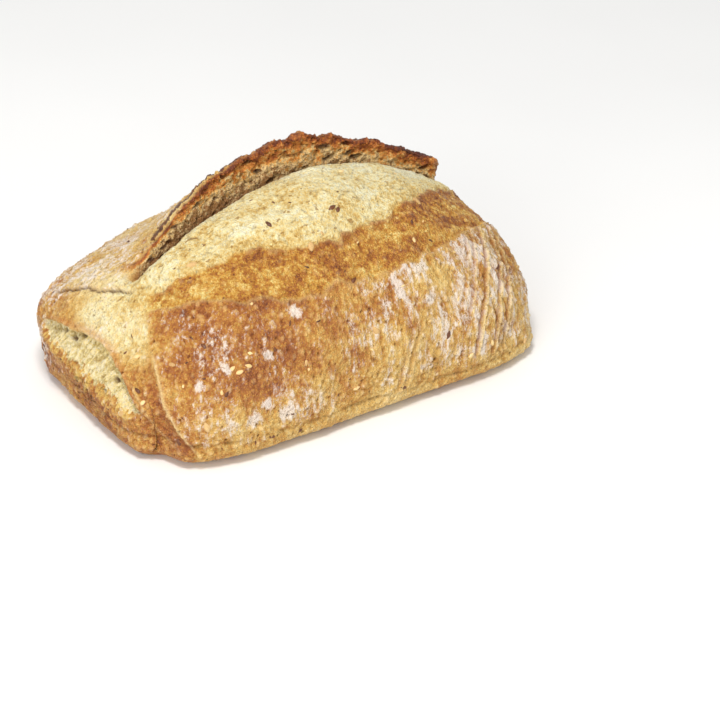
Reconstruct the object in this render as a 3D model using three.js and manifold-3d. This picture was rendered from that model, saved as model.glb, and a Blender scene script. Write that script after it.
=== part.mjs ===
// A multigrain hearth loaf, baked whole: one solid of bread. A long slash opened
// along its back in the oven, so a torn ear stands up behind a pale swollen dome.
// The near side is a flat browned flank, the left end has a small burst, and
// seeds are baked into the crust.
//
// Millimetres. +X runs along the loaf to its right end, -Y is the near flank,
// +Z is up, and the origin is under the middle of the flat base.

import * as THREE from "three";
import { mergeVertices } from "three/addons/utils/BufferGeometryUtils.js";
import Module from "manifold-3d";

// ---- Driving dimensions -------------------------------------------------

const LENGTH = 240;
const WIDTH = 158.5;
const CROWN = 102; // height of the dome, without the ear
const WAIST = 24; // height of the widest level
const UNDERCUT = 25.7; // depth of the full curve under the waist, cut flat at the base
const FAR_DROP = 11; // how much lower the back slope lies than the dome

// The outline of each end: a higher power is squarer.
const LEFT_END = { plan: 5.2, top: 1.9, foot: 5.6, under: 25 };
const RIGHT_END = { plan: 4.5, top: 2.1, foot: 7.6, under: 18 };
const PLAN_ROUND = 3.35;
const TOP_ROUND = 1.76;
const FOOT_ROUND = 3.6;
const UNDER_ROUND = 2.75;
const TOP_SECTION = 1.95; // power of the section's curve above the waist
const UNDER_SECTION = 6; // and below it

// The slash: where it starts and ends, and how far its two lips part.
const SLASH_LEFT = -93;
const SLASH_RIGHT = 98;
const SLASH_Y = 13;
const SLASH_LEAN_LEFT = 16; // it drifts this far to the near side at its left end
const SLASH_LEAN_RIGHT = 6;
const SLASH_RAMP = 30; // length over which it deepens from its left end
const SLASH_GATHER = 12; // and over which its two walls become steep
const SLASH_END = 4; // and the short stretch over which it breaks off at the right
const VALLEY = 14; // depth of the gap between dome and ear
const EAR = 17.5; // greatest height of the ear above the slope it tore from
const EAR_RAMP = 115; // length over which it grows from its left end
const EAR_TIP = 6; // and how far its right end leans out
const EAR_DIP = 0.36; // share of that height lost along its right part
const EAR_DIP_FROM = 25;
const EAR_DIP_TO = 62;
const DOME_SAG = 4; // how much lower the dome's far edge lies along its left part
const DOME_SAG_X = -20;
const DOME_SAG_HALF = 28;

// Angles round the section, from the near side over the top, in degrees.
const NEAR_TOP = 52;
const FAR_TOP = 143;

// Relief of the crust.
const LUMP_HEIGHT = 1.1;
const LUMP_LENGTH = 62;
const CRAG_HEIGHT = 0.9;
const CRAG_LENGTH = 19;
const RIM_HEIGHT = 1.3;
const RIM_LENGTH = 24;
const SKIN_STEP = 1.3; // the dome stands this far above the browned band
const FLANK_LIP = 0.9; // the band's lower edge above the flank
const BURST_DEPTH = 4.2;
const BURST_FROM_Y = 42;
const BURST_TO_Y = -50;
const BURST_HALF = 12.5;
const BURST_TOP_Z = 35;
const BURST_FALL = 9.5;
const CRACK_DEPTH = 1.9;
const CRACK_HALF = 2.6;
const PLEAT_DEPTH = 1.2;
const PLEAT_HALF = 3.2;
const NOTCH_DEPTH = 6; // beside the near left corner
const NOTCH_X = -108;
const NOTCH_Y = -58;
const BULGE = 10; // the far side of the left end swells this much

// Cells of the grid: along the loaf, over the dome, over the ear and up each flank.
const CELLS = { along: 70, dome: 10, ear: 15, flank: 13 };
const END_START = 0.74; // share of the outline's length before the ends begin

// Seeds: length, width and thickness, and how deep each kind is sunk.
const SEED_KINDS = [
  { size: [4.8, 2.6, 1.7], sunk: 0.25 },
  { size: [4.2, 2.4, 1.6], sunk: 0.2 },
  { size: [6.6, 3.8, 2.3], sunk: 0.4 },
];
const SEED_TRIES = 52;
const SEED_SIDES = 5;
const SEED_RINGS = 4;

const DEGREE = Math.PI / 180;
const HALF_LENGTH = LENGTH / 2;
const HALF_WIDTH = WIDTH / 2;

// ---- Small helpers --------------------------------------------------------

const clamp01 = (t) => Math.min(1, Math.max(0, t));
const mix = (a, b, t) => a + (b - a) * t;
const bell = (distance, half) => Math.exp(-((distance / half) ** 2));

/** Smooth step from 0 at a to 1 at b; a may be above b. */
function ease(a, b, value) {
  const t = clamp01((value - a) / (b - a));
  return t * t * (3 - 2 * t);
}

/** Monotone cubic through [place, value] knots. */
function through(knots, t) {
  const last = knots.length - 1;
  const slope = (k) => (knots[k + 1][1] - knots[k][1]) / (knots[k + 1][0] - knots[k][0]);
  const tangent = (k) => {
    if (k === 0) return slope(0);
    if (k === last) return slope(last - 1);
    const before = slope(k - 1);
    const after = slope(k);
    return before * after > 0 ? (2 * before * after) / (before + after) : 0;
  };
  let k = 0;
  while (k < last - 1 && t >= knots[k + 1][0]) k += 1;
  const step = knots[k + 1][0] - knots[k][0];
  const s = clamp01((t - knots[k][0]) / step);
  const start = (1 + 2 * s) * (1 - s) ** 2 * knots[k][1] + s * (1 - s) ** 2 * step * tangent(k);
  const end = s * s * (3 - 2 * s) * knots[k + 1][1] + s * s * (s - 1) * step * tangent(k + 1);
  return start + end;
}

/** Halton sequence: an even spread of numbers between 0 and 1. */
function halton(index, base) {
  let value = 0;
  let share = 1;
  for (let n = index; n > 0; n = Math.floor(n / base)) {
    share /= base;
    value += share * (n % base);
  }
  return value;
}

/** A smooth uneven field: sines in directions spread by the golden angle. */
function unevenness(x, y, z, wavelength, waves) {
  let sum = 0;
  for (let n = 0; n < waves; n += 1) {
    const turn = n * 2.39996 + 0.7;
    const lift = 1 - (2 * n + 1) / waves;
    const flat = Math.sqrt(1 - lift * lift);
    const reach = (2 * Math.PI * (1 + 0.37 * n)) / wavelength;
    const along = x * flat * Math.cos(turn) + y * flat * Math.sin(turn) + z * lift;
    sum += Math.sin(along * reach + 1.9 * n * n) / (1 + 0.37 * n);
  }
  return sum;
}

// ---- The loaf's surface ---------------------------------------------------

const endOf = (xi) => (xi < 0 ? LEFT_END : RIGHT_END);
const taper = (xi, power, round) => clamp01(1 - Math.abs(xi) ** power) ** (1 / round);

/** Distance from the section's centre to its rounded outline, at an angle. */
function sectionReach(angle, power) {
  return (Math.abs(Math.cos(angle)) ** power + Math.abs(Math.sin(angle)) ** power) ** (-1 / power);
}

/** Steps of equal length along the plan outline, from the middle to an end. */
function outlineTable() {
  const steps = 600;
  const places = [0];
  const lengths = [0];
  let x = 0;
  let y = HALF_WIDTH;
  for (let n = 1; n <= steps; n += 1) {
    const xi = Math.sqrt(Math.sin((n / steps) * (Math.PI / 2)));
    const nextX = xi * HALF_LENGTH;
    const nextY = taper(xi, LEFT_END.plan, PLAN_ROUND) * HALF_WIDTH;
    lengths.push(lengths[n - 1] + Math.hypot(nextX - x, 0.8 * (nextY - y)));
    places.push(xi);
    x = nextX;
    y = nextY;
  }
  return { places, lengths };
}

const OUTLINE = outlineTable();

/** The place along X, from -1 to 1, at a share m of the outline's length. */
function placeAlong(m) {
  const { places, lengths } = OUTLINE;
  const wanted = Math.abs(m) * lengths[lengths.length - 1];
  let low = 0;
  let high = lengths.length - 1;
  while (high - low > 1) {
    const middle = (low + high) >> 1;
    if (lengths[middle] > wanted) high = middle;
    else low = middle;
  }
  const t = clamp01((wanted - lengths[low]) / (lengths[high] - lengths[low]));
  return Math.sign(m) * mix(places[low], places[high], t);
}

/** The slash's path across the top, as y for each x. */
function slashY(x) {
  return SLASH_Y - SLASH_LEAN_LEFT * ease(0, -105, x) - SLASH_LEAN_RIGHT * ease(40, 100, x);
}

/** 1 as far as the slash reaches to the right, 0 past its end. */
const slashReach = (x) => 1 - ease(SLASH_RIGHT - SLASH_END / 2, SLASH_RIGHT + SLASH_END / 2, x);

/** How far open the slash is: 0 outside it, 1 along its middle. */
function slashOpen(x) {
  const rise = Math.sin((Math.PI / 2) * clamp01((x - SLASH_LEFT) / SLASH_RAMP));
  return rise * slashReach(x);
}

/** How closely the surface follows the slash's two walls. */
function slashGather(x) {
  return ease(SLASH_LEFT - SLASH_END, SLASH_LEFT + SLASH_GATHER, x) * slashReach(x);
}

/** Height of the ear at x: it grows from the left, and is lower along its right part. */
function earHeight(x) {
  const t = clamp01((x - SLASH_LEFT) / EAR_RAMP);
  return EAR * (1.25 * t - 0.25 * t ** 5) * (1 - EAR_DIP * ease(EAR_DIP_FROM, EAR_DIP_TO, x));
}

/** How far the dome's edge sags at x, at a share of the way up to the slash. */
function domeSag(x, share) {
  return DOME_SAG * bell(x - DOME_SAG_X, DOME_SAG_HALF) * ease(0.3, 0.75, share) * ease(1, 0.88, share);
}

/** Turn of a point of the ear: where the ear is low it stands straight over the slash. */
function earTurn(x, share, gather) {
  const lean = clamp01((1.6 * earHeight(x)) / EAR);
  const torn = mix(through(LOW_EAR_TURN, share), through(EAR_TURN, share), lean);
  return mix(EAR_SPAN * share ** 1.35, torn, gather);
}

/** The plain section at xi: a rounded hump above the waist, a tucked foot below. */
function sectionPoint(xi, angle) {
  const end = endOf(xi);
  const upperHalf = HALF_WIDTH * taper(xi, end.plan, PLAN_ROUND);
  if (Math.sin(angle) >= 0) {
    const reach = sectionReach(angle, TOP_SECTION);
    const across = -Math.cos(angle) * reach;
    const height = taper(xi, end.top, TOP_ROUND);
    const drop = FAR_DROP * height * ease(0, 0.55, across);
    const z = WAIST + Math.sin(angle) * reach * ((CROWN - WAIST) * height - drop);
    return [across * upperHalf, z];
  }
  const reach = sectionReach(angle, UNDER_SECTION);
  const down = -Math.sin(angle) * reach;
  const footHalf = HALF_WIDTH * taper(xi, end.foot, FOOT_ROUND);
  const half = mix(upperHalf, footHalf, ease(0, 1, down));
  const z = WAIST - down * UNDERCUT * taper(xi, end.under, UNDER_ROUND);
  return [-Math.cos(angle) * reach * half, Math.max(z, 0)];
}

/** How far under the waist the flanks reach before the base cuts them flat. */
function footAngle(xi) {
  const depth = UNDERCUT * taper(xi, endOf(xi).under, UNDER_ROUND);
  const down = Math.min(1, WAIST / Math.max(depth, 1e-6));
  return Math.atan2(down, (1 - down ** UNDER_SECTION) ** (1 / UNDER_SECTION));
}

// Each face is one stretch of the section. Across the dome and the ear, knots
// give the angle from the slash and the rise, at shares of the face's cells.
const DOME_TURN = [[0, -56], [0.45, -24], [0.7, -11], [0.85, -4.5], [0.94, -1.6], [1, 0]];
const DOME_SINK = [[0, 0], [0.45, 0], [0.7, -0.05], [0.85, -0.26], [0.94, -0.6], [1, -1]];
const EAR_TURN = [
  [0, 0], [0.12, 2.4], [0.25, 3.8], [0.38, 4.1], [0.47, 3.8],
  [0.53, 6.8], [0.59, 10.5], [0.7, 17], [0.84, 30], [1, 52],
];
const LOW_EAR_TURN = [
  [0, 0], [0.3, 0.6], [0.47, 1.4], [0.53, 3.2], [0.59, 6.2], [0.7, 13], [0.84, 26], [1, 52],
];
const EAR_RISE = [
  [0, -1], [0.12, -0.55], [0.25, 0.2], [0.38, 0.7], [0.47, 0.93],
  [0.53, 1], [0.59, 0.88], [0.7, 0.5], [0.84, 0.14], [1, 0],
];
const DOME_SPAN = 56;
const EAR_SPAN = 52;

/** The angle of the slash's path in the section at xi. */
function slashAngle(xi) {
  const half = Math.max(HALF_WIDTH * taper(xi, endOf(xi).plan, PLAN_ROUND), 1e-3);
  const across = Math.min(0.5, Math.max(-0.5, slashY(xi * HALF_LENGTH) / half));
  const up = (1 - Math.abs(across) ** TOP_SECTION) ** (1 / TOP_SECTION);
  return Math.atan2(up, -across);
}

/** Angle and rise of a point given by its face and the share across it. */
function turnAndRise(face, share, xi) {
  const nearLow = -footAngle(xi);
  const nearTop = NEAR_TOP * DEGREE;
  const farTop = FAR_TOP * DEGREE;
  const x = xi * HALF_LENGTH;
  const open = slashOpen(x);
  const gather = slashGather(x);
  const slash = slashAngle(xi);
  if (face === "near") return [mix(nearLow, nearTop, share), 0];
  if (face === "far") return [mix(farTop, Math.PI - nearLow, share), 0];
  if (face === "under") return [mix(Math.PI - nearLow, 2 * Math.PI + nearLow, share), 0];
  if (face === "dome") {
    const turn = mix(-DOME_SPAN * (1 - share), through(DOME_TURN, share), gather);
    const sink = VALLEY * through(DOME_SINK, share) - domeSag(x, share);
    return [slash + (turn / DOME_SPAN) * (slash - nearTop), sink * open];
  }
  const rise = through(EAR_RISE, share);
  const height = rise < 0 ? VALLEY : earHeight(x);
  return [slash + (earTurn(x, share, gather) / EAR_SPAN) * (farTop - slash), rise * height * open];
}

/** Distance in plan from the notch beside the near left corner. */
const fromNotch = (x, y) => Math.hypot(x - NOTCH_X, y - NOTCH_Y);

/** A point of the smooth loaf, before the crust's relief. */
function smoothPoint(m, face, share) {
  const xi = placeAlong(m);
  const [angle, rise] = turnAndRise(face, share, xi);
  const [y, z] = sectionPoint(xi, angle);
  const x = xi * HALF_LENGTH;
  const notch = NOTCH_DEPTH * bell(fromNotch(x, y), 9) * ease(60, 10, z);
  const bulge = BULGE * ease(-62, -112, x) * ease(-22, 30, y) * bell(z - 52, 26);
  const tip = EAR_TIP * clamp01(rise / EAR) * ease(72, SLASH_RIGHT, x);
  return new THREE.Vector3(x + 0.7 * notch - bulge + tip, y + 0.7 * notch, z + rise);
}

/** Outward direction of the smooth loaf, from small steps over its surface. */
function outward(m, face, share) {
  const step = 2e-3;
  if (Math.abs(m) > 1 - 2 * step) return new THREE.Vector3(Math.sign(m), 0, 0);
  const low = Math.max(share - step, 0);
  const high = Math.min(share + step, 1);
  const along = smoothPoint(m + step, face, share).sub(smoothPoint(m - step, face, share));
  const round = smoothPoint(m, face, high).sub(smoothPoint(m, face, low));
  return along.cross(round).normalize();
}

// ---- Relief of the crust --------------------------------------------------

/** Where the browned band ends and the pale dome begins. */
function bandTopY(x) {
  const out = Math.abs((x + 2) / 92);
  return -43.5 + (x < -2 ? 27 * out ** 1.35 : 34 * out ** 1.95);
}

/** Where the flank's skin ends at the shoulder. */
const bandFootY = (x) => -61.5 + (x < 0 ? 42 : 30) * Math.abs(x / 99) ** 2.6;

/** The edge of the dome's torn skin, and the lip where the band meets the flank. */
function bandRelief(p, face, share) {
  const ragged = 1.6 * Math.sin(p.x * 0.31) + 1.1 * Math.sin(p.x * 0.83 + 1);
  const upper = ease(30, 55, p.z);
  const within = ease(-104, -90, p.x) * ease(112, 96, p.x);
  const outOfSlash = face === "dome" ? ease(1, 0.8, share) : Number(face === "near");
  const step = SKIN_STEP * ease(-2, 2, p.y - bandTopY(p.x) - ragged) * outOfSlash;
  const lip = FLANK_LIP * bell(p.y - bandFootY(p.x) - 2, 4);
  return (step + lip) * upper * within;
}

/** The burst across the left end: deepest under its sharp upper lip. */
function burstRelief(p) {
  const t = (BURST_FROM_Y - p.y) / (BURST_FROM_Y - BURST_TO_Y);
  if (p.x > -95 || t <= 0 || t >= 1) return 0;
  const half = BURST_HALF * Math.sin(Math.PI * t) ** 0.7;
  const offset = (p.z - (BURST_TOP_Z - BURST_FALL * t ** 3.5)) / half;
  return -BURST_DEPTH * ease(1, 0.62, offset) * ease(-1.1, 0.2, offset) * Math.min(1, half / 5);
}

/** The crack that runs on from the slash down the far side of the left end. */
function crackRelief(p) {
  const level = 66.2 - 0.33 * p.y - 0.0025 * p.y * p.y;
  const within = ease(-78, -88, p.x) * ease(-14, -6, p.y) * ease(42, 30, p.y);
  return -CRACK_DEPTH * bell(p.z - level, CRACK_HALF) * within;
}

/** The folds of dough at both ends of the near flank. */
function pleatRelief(p) {
  const up = p.z - 17;
  const leftX = -105.2 + 5.8 * ((p.z - 38) / 22) ** 2;
  const rightX = 63.8 + 0.168 * up + 0.00637 * up * up;
  const left = bell(p.x - leftX, PLEAT_HALF) * ease(-96, -98, p.x);
  const right = bell(p.x - rightX, PLEAT_HALF) + 0.7 * bell(p.x - rightX - 13, PLEAT_HALF);
  return -PLEAT_DEPTH * (left + right) * ease(-18, -34, p.y) * ease(8, 20, p.z);
}

/** Torn crags on the ear's inner face. */
function cragRelief(p, face, share) {
  if (face !== "ear") return 0;
  const torn = ease(0.02, 0.18, share) * ease(0.46, 0.36, share) * slashOpen(p.x);
  return 0.5 * CRAG_HEIGHT * torn * unevenness(p.x, p.y, p.z, CRAG_LENGTH, 5);
}

/** The ragged top edge of the ear, as a change of its height. */
function rimRelief(p, face, share) {
  if (face !== "ear") return 0;
  const rim = ease(0.25, 0.47, share) * ease(0.72, 0.53, share) * slashOpen(p.x);
  return 0.5 * RIM_HEIGHT * rim * unevenness(p.x, 0, 0, RIM_LENGTH, 5);
}

/** Height of the crust above the smooth loaf at one point. */
function relief(p, face, share) {
  const thick = (face === "ear" ? ease(0.53, 0.8, share) : 1) * (1 - bell(fromNotch(p.x, p.y), 16));
  const lumps = 0.5 * LUMP_HEIGHT * thick * unevenness(p.x, p.y, p.z, LUMP_LENGTH, 6);
  const torn = bandRelief(p, face, share) + cragRelief(p, face, share);
  const folds = burstRelief(p) + crackRelief(p) + pleatRelief(p);
  return (lumps + torn + folds) * ease(0.5, 9, p.z);
}

/** A point of the crust. */
function crustPoint(m, face, share) {
  const point = smoothPoint(m, face, share);
  const height = relief(point, face, share);
  const lift = rimRelief(point, face, share);
  point.addScaledVector(outward(m, face, share), height);
  point.z += lift;
  return point;
}

// ---- The closed grid ------------------------------------------------------

const ACROSS = CELLS.dome + CELLS.ear;
const DOME_EDGE = -1 + (2 * CELLS.dome) / ACROSS;

/** The face and share at a place (p, q) on the rim of the square from -1 to 1. */
function rimPlace(p, q) {
  const edge = 1 - 1e-9;
  if (q >= edge && p <= DOME_EDGE) return ["dome", (p + 1) / (DOME_EDGE + 1)];
  if (q >= edge) return ["ear", (p - DOME_EDGE) / (1 - DOME_EDGE)];
  if (q <= -edge) return ["under", (1 - p) / 2];
  if (p <= -edge) return ["near", (q + 1) / 2];
  return ["far", (1 - q) / 2];
}

/** The crust point at grid corner (i, j, k): the two ends are square caps. */
function cornerPoint(i, j, k) {
  const p = -1 + (2 * j) / ACROSS;
  const q = -1 + (2 * k) / CELLS.flank;
  const rim = Math.max(Math.abs(p), Math.abs(q));
  if (rim < 1e-9) return crustPoint(i === 0 ? -1 : 1, "dome", 0.5);
  const inEnd = (i === 0 || i === CELLS.along) && rim < 1 - 1e-9;
  const [face, share] = rimPlace(p / rim, q / rim);
  if (!inEnd) return crustPoint(END_START * (-1 + (2 * i) / CELLS.along), face, share);
  return crustPoint((1 - (1 - END_START) * rim) * (i === 0 ? -1 : 1), face, share);
}

/** The bread as a closed mesh: flanks, top and ends as a grid, and a flat base. */
function breadGeometry() {
  const numbers = new Map();
  const positions = [];
  const triangles = [];
  const corner = (i, j, k) => {
    const key = `${i} ${j} ${k}`;
    if (!numbers.has(key)) {
      numbers.set(key, positions.length / 3);
      positions.push(...cornerPoint(i, j, k).toArray());
    }
    return numbers.get(key);
  };
  const cell = (a, b, c, d) => triangles.push(a, b, c, a, c, d);

  for (let i = 0; i < CELLS.along; i += 1) {
    for (let j = 0; j < ACROSS; j += 1) {
      const k = CELLS.flank;
      cell(corner(i, j, k), corner(i + 1, j, k), corner(i + 1, j + 1, k), corner(i, j + 1, k));
    }
    for (let k = 0; k < CELLS.flank; k += 1) {
      const j = ACROSS;
      cell(corner(i, 0, k), corner(i + 1, 0, k), corner(i + 1, 0, k + 1), corner(i, 0, k + 1));
      cell(corner(i, j, k), corner(i, j, k + 1), corner(i + 1, j, k + 1), corner(i + 1, j, k));
    }
  }
  for (let j = 0; j < ACROSS; j += 1) {
    for (let k = 0; k < CELLS.flank; k += 1) {
      const i = CELLS.along;
      cell(corner(0, j, k), corner(0, j, k + 1), corner(0, j + 1, k + 1), corner(0, j + 1, k));
      cell(corner(i, j, k), corner(i, j + 1, k), corner(i, j + 1, k + 1), corner(i, j, k + 1));
    }
  }

  const rim = [];
  for (let i = 0; i < CELLS.along; i += 1) rim.push(corner(i, 0, 0));
  for (let j = 0; j < ACROSS; j += 1) rim.push(corner(CELLS.along, j, 0));
  for (let i = CELLS.along; i > 0; i -= 1) rim.push(corner(i, ACROSS, 0));
  for (let j = ACROSS; j > 0; j -= 1) rim.push(corner(0, j, 0));
  const middle = positions.length / 3;
  positions.push(0, 0, 0);
  rim.forEach((n, place) => triangles.push(middle, rim[(place + 1) % rim.length], n));

  const geometry = new THREE.BufferGeometry();
  geometry.setAttribute("position", new THREE.Float32BufferAttribute(positions, 3));
  geometry.setIndex(triangles);
  return geometry;
}

// ---- Seeds ----------------------------------------------------------------

// The stretches of crust that carry seeds, as shares of the way round a section.
const SEED_BELTS = [
  { until: 0.4, face: "near", from: 0.2, to: 1 },
  { until: 0.66, face: "dome", from: 0.02, to: 0.66 },
  { until: 0.76, face: "ear", from: 0.8, to: 0.98 },
  { until: 1, face: "far", from: 0, to: 0.75 },
];

/** Where the seed numbered n lies: its share of the outline, its face and the share across it. */
function seedPlace(n) {
  const round = halton(n, 3);
  const belt = SEED_BELTS.findIndex((b) => round < b.until);
  const start = belt === 0 ? 0 : SEED_BELTS[belt - 1].until;
  const { until, face, from, to } = SEED_BELTS[belt];
  return { m: mix(-0.9, 0.9, halton(n, 2)), face, share: mix(from, to, (round - start) / (until - start)) };
}

/** The seed numbered n, as a small faceted ellipsoid lying in the crust. */
function seedGeometry(n) {
  const { m, face, share } = seedPlace(n);
  const kind = SEED_KINDS[Math.floor(halton(n, 7) * SEED_KINDS.length)];
  const up = outward(m, face, share);
  const place = crustPoint(m, face, share).addScaledVector(up, -kind.sunk);
  const turn = new THREE.Quaternion().setFromUnitVectors(new THREE.Vector3(0, 0, 1), up);
  const spin = new THREE.Quaternion().setFromAxisAngle(new THREE.Vector3(0, 0, 1), halton(n, 5) * Math.PI);
  const size = new THREE.Vector3(...kind.size);
  const frame = new THREE.Matrix4().compose(place, turn.multiply(spin), size);
  return new THREE.SphereGeometry(0.5, SEED_SIDES, SEED_RINGS).applyMatrix4(frame);
}

// ---- Joining --------------------------------------------------------------

const wasm = await Module();
wasm.setup();

/** A closed solid of a geometry, for joining. */
function toSolid(geometry) {
  geometry.deleteAttribute("normal");
  geometry.deleteAttribute("uv");
  const merged = mergeVertices(geometry, 1e-4);
  const vertProperties = new Float32Array(merged.attributes.position.array);
  const triVerts = new Uint32Array(merged.index.array);
  return new wasm.Manifold(new wasm.Mesh({ numProp: 3, vertProperties, triVerts }));
}

/** A geometry of a closed solid. */
function toGeometry(solid) {
  const mesh = solid.getMesh();
  const positions = [];
  for (let n = 0; n < mesh.numVert; n += 1) {
    positions.push(...mesh.vertProperties.slice(n * mesh.numProp, n * mesh.numProp + 3));
  }
  const geometry = new THREE.BufferGeometry();
  geometry.setAttribute("position", new THREE.Float32BufferAttribute(positions, 3));
  geometry.setIndex(Array.from(mesh.triVerts));
  return geometry;
}

/** The bread with its seeds fused on, its base centred on the origin. */
function loafGeometry() {
  let loaf = toSolid(breadGeometry());
  for (let n = 1; n <= SEED_TRIES; n += 1) {
    const { m, face, share } = seedPlace(n);
    const inBurst = burstRelief(smoothPoint(m, face, share)) < 0;
    if (!inBurst) loaf = loaf.add(toSolid(seedGeometry(n)));
  }
  const geometry = toGeometry(loaf);
  geometry.computeBoundingBox();
  const { min, max } = geometry.boundingBox;
  geometry.translate(-(min.x + max.x) / 2, -(min.y + max.y) / 2, -min.z);
  geometry.computeVertexNormals();
  return geometry;
}

const crust = new THREE.MeshStandardMaterial({ color: 0xc98f45, roughness: 0.75, metalness: 0 });
const loaf = new THREE.Mesh(loafGeometry(), crust);
loaf.name = "loaf";

const group = new THREE.Group();
group.add(loaf);

export default group;
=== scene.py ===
# Looks of a multigrain hearth loaf: the crust's fine relief, its colours and its seeds.
#
# The loaf's form follows the same functions and driving dimensions as its solid, on
# a much finer grid. Lengths in the shape functions are millimetres, and MM turns
# them into the scene's metres. +X runs along the loaf, -Y is the near flank.

import math
from itertools import product

import bpy
import numpy as np
from mathutils import Matrix, Vector


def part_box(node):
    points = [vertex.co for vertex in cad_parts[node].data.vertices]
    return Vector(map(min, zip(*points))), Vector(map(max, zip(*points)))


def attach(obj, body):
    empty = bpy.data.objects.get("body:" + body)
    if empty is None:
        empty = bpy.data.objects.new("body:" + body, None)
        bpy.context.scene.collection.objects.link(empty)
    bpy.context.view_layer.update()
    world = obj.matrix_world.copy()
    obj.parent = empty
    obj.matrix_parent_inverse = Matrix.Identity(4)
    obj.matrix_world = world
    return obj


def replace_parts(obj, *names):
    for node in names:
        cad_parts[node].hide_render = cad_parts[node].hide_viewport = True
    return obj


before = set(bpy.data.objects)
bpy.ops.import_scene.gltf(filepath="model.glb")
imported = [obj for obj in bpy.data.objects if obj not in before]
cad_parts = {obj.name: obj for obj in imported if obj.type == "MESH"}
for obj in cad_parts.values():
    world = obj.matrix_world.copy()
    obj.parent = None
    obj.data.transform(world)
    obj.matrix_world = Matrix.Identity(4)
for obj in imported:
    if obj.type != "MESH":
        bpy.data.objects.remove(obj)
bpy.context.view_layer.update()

MM = 0.001

# ---- Driving dimensions, as in the solid ----------------------------------

LENGTH = 240
WIDTH = 158.5
CROWN = 102
WAIST = 24
UNDERCUT = 25.7
FAR_DROP = 11

# The outline of each end, how round it is, and the section's curves: a higher power is squarer.
LEFT_END = {"plan": 5.2, "top": 1.9, "foot": 5.6, "under": 25}
RIGHT_END = {"plan": 4.5, "top": 2.1, "foot": 7.6, "under": 18}
ROUND = {"plan": 3.35, "top": 1.76, "foot": 3.6, "under": 2.75}
TOP_SECTION = 1.95
UNDER_SECTION = 6

# The slash, the valley and the ear beside it, and the dome's sag.
SLASH_LEFT = -93
SLASH_RIGHT = 98
SLASH_Y = 13
SLASH_LEAN_LEFT = 16
SLASH_LEAN_RIGHT = 6
SLASH_RAMP = 30
SLASH_GATHER = 12
SLASH_END = 4
VALLEY = 14
EAR = 17.5
EAR_RAMP = 115
EAR_TIP = 6
EAR_DIP = 0.36
EAR_DIP_FROM = 25
EAR_DIP_TO = 62
DOME_SAG = 4
DOME_SAG_X = -20
DOME_SAG_HALF = 28

# Angles round the section, in degrees: the near flank's top and the far flank's.
NEAR_TOP = 52
FAR_TOP = 143

# Relief of the crust, the burst across the left end, the notch and the far bulge.
LUMP_HEIGHT = 1.1
LUMP_LENGTH = 62
RIM_HEIGHT = 1.3
RIM_LENGTH = 24
SKIN_STEP = 1.3
BURST_DEPTH = 4.2
BURST_FROM_Y = 42
BURST_TO_Y = -50
BURST_HALF = 12.5
BURST_TOP_Z = 35
BURST_FALL = 9.5
NOTCH_DEPTH = 6
NOTCH_X = -108
NOTCH_Y = -58
BULGE = 10

# Knots over the share of the way across a face: turns out of its span, and rises in shares.
DOME_TURN = [(0, -56), (0.45, -24), (0.7, -11), (0.85, -4.5), (0.94, -1.6), (1, 0)]
DOME_SINK = [(0, 0), (0.45, 0), (0.7, -0.05), (0.85, -0.26), (0.94, -0.6), (1, -1)]
EAR_TURN = [
    (0, 0), (0.12, 2.4), (0.25, 3.8), (0.38, 4.1), (0.47, 3.8),
    (0.53, 6.8), (0.59, 10.5), (0.7, 17), (0.84, 30), (1, 52),
]
LOW_EAR_TURN = [
    (0, 0), (0.3, 0.6), (0.47, 1.4), (0.53, 3.2), (0.59, 6.2), (0.7, 13), (0.84, 26), (1, 52),
]
EAR_RISE = [
    (0, -1), (0.12, -0.55), (0.25, 0.2), (0.38, 0.7), (0.47, 0.93),
    (0.53, 1), (0.59, 0.88), (0.7, 0.5), (0.84, 0.14), (1, 0),
]
DOME_SPAN = 56
EAR_SPAN = 52

# Radius at which the noise that runs round the loaf has its true wavelength.
ROUND_RADIUS = 105

# Cells of the fine grid, and where the two ends begin on the outline's length.
FINENESS = 1.0
CELLS = {"along": 400, "dome": 100, "ear": 120, "flank": 110}
CELLS = {name: round(count * FINENESS) for name, count in CELLS.items()}
END_START = 0.74

UNDER, NEAR, DOME, EAR_FACE, FAR = range(5)
HALF_LENGTH = LENGTH / 2
HALF_WIDTH = WIDTH / 2


# ---- Small helpers --------------------------------------------------------

def mix(a, b, t):
    return a + (b - a) * t


def ease(a, b, value):
    """Smooth step from 0 at a to 1 at b; a may be above b."""
    t = np.clip((value - a) / (b - a), 0, 1)
    return t * t * (3 - 2 * t)


def bell(distance, half):
    return np.exp(-((distance / half) ** 2))


def through(knots, t):
    """Monotone cubic through (place, value) knots."""
    place = np.array([k[0] for k in knots], float)
    value = np.array([k[1] for k in knots], float)
    step = np.diff(place)
    slope = np.diff(value) / step
    before, after = slope[:-1], slope[1:]
    same_way = before * after > 0
    total = np.where(same_way, before + after, 1)
    tangent = np.zeros(len(place))
    tangent[1:-1] = np.where(same_way, 2 * before * after / total, 0)
    tangent[0] = slope[0]
    tangent[-1] = slope[-1]
    k = np.clip(np.searchsorted(place, t, side="right") - 1, 0, len(step) - 1)
    s = np.clip((t - place[k]) / step[k], 0, 1)
    start = (1 + 2 * s) * (1 - s) ** 2 * value[k] + s * (1 - s) ** 2 * step[k] * tangent[k]
    end = s * s * (3 - 2 * s) * value[k + 1] + s * s * (s - 1) * step[k] * tangent[k + 1]
    return start + end


def halton(index, base):
    """Halton sequence: an even spread of numbers between 0 and 1."""
    value, share = 0.0, 1.0
    while index > 0:
        share /= base
        value += share * (index % base)
        index //= base
    return value


# ---- Noise ----------------------------------------------------------------

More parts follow.
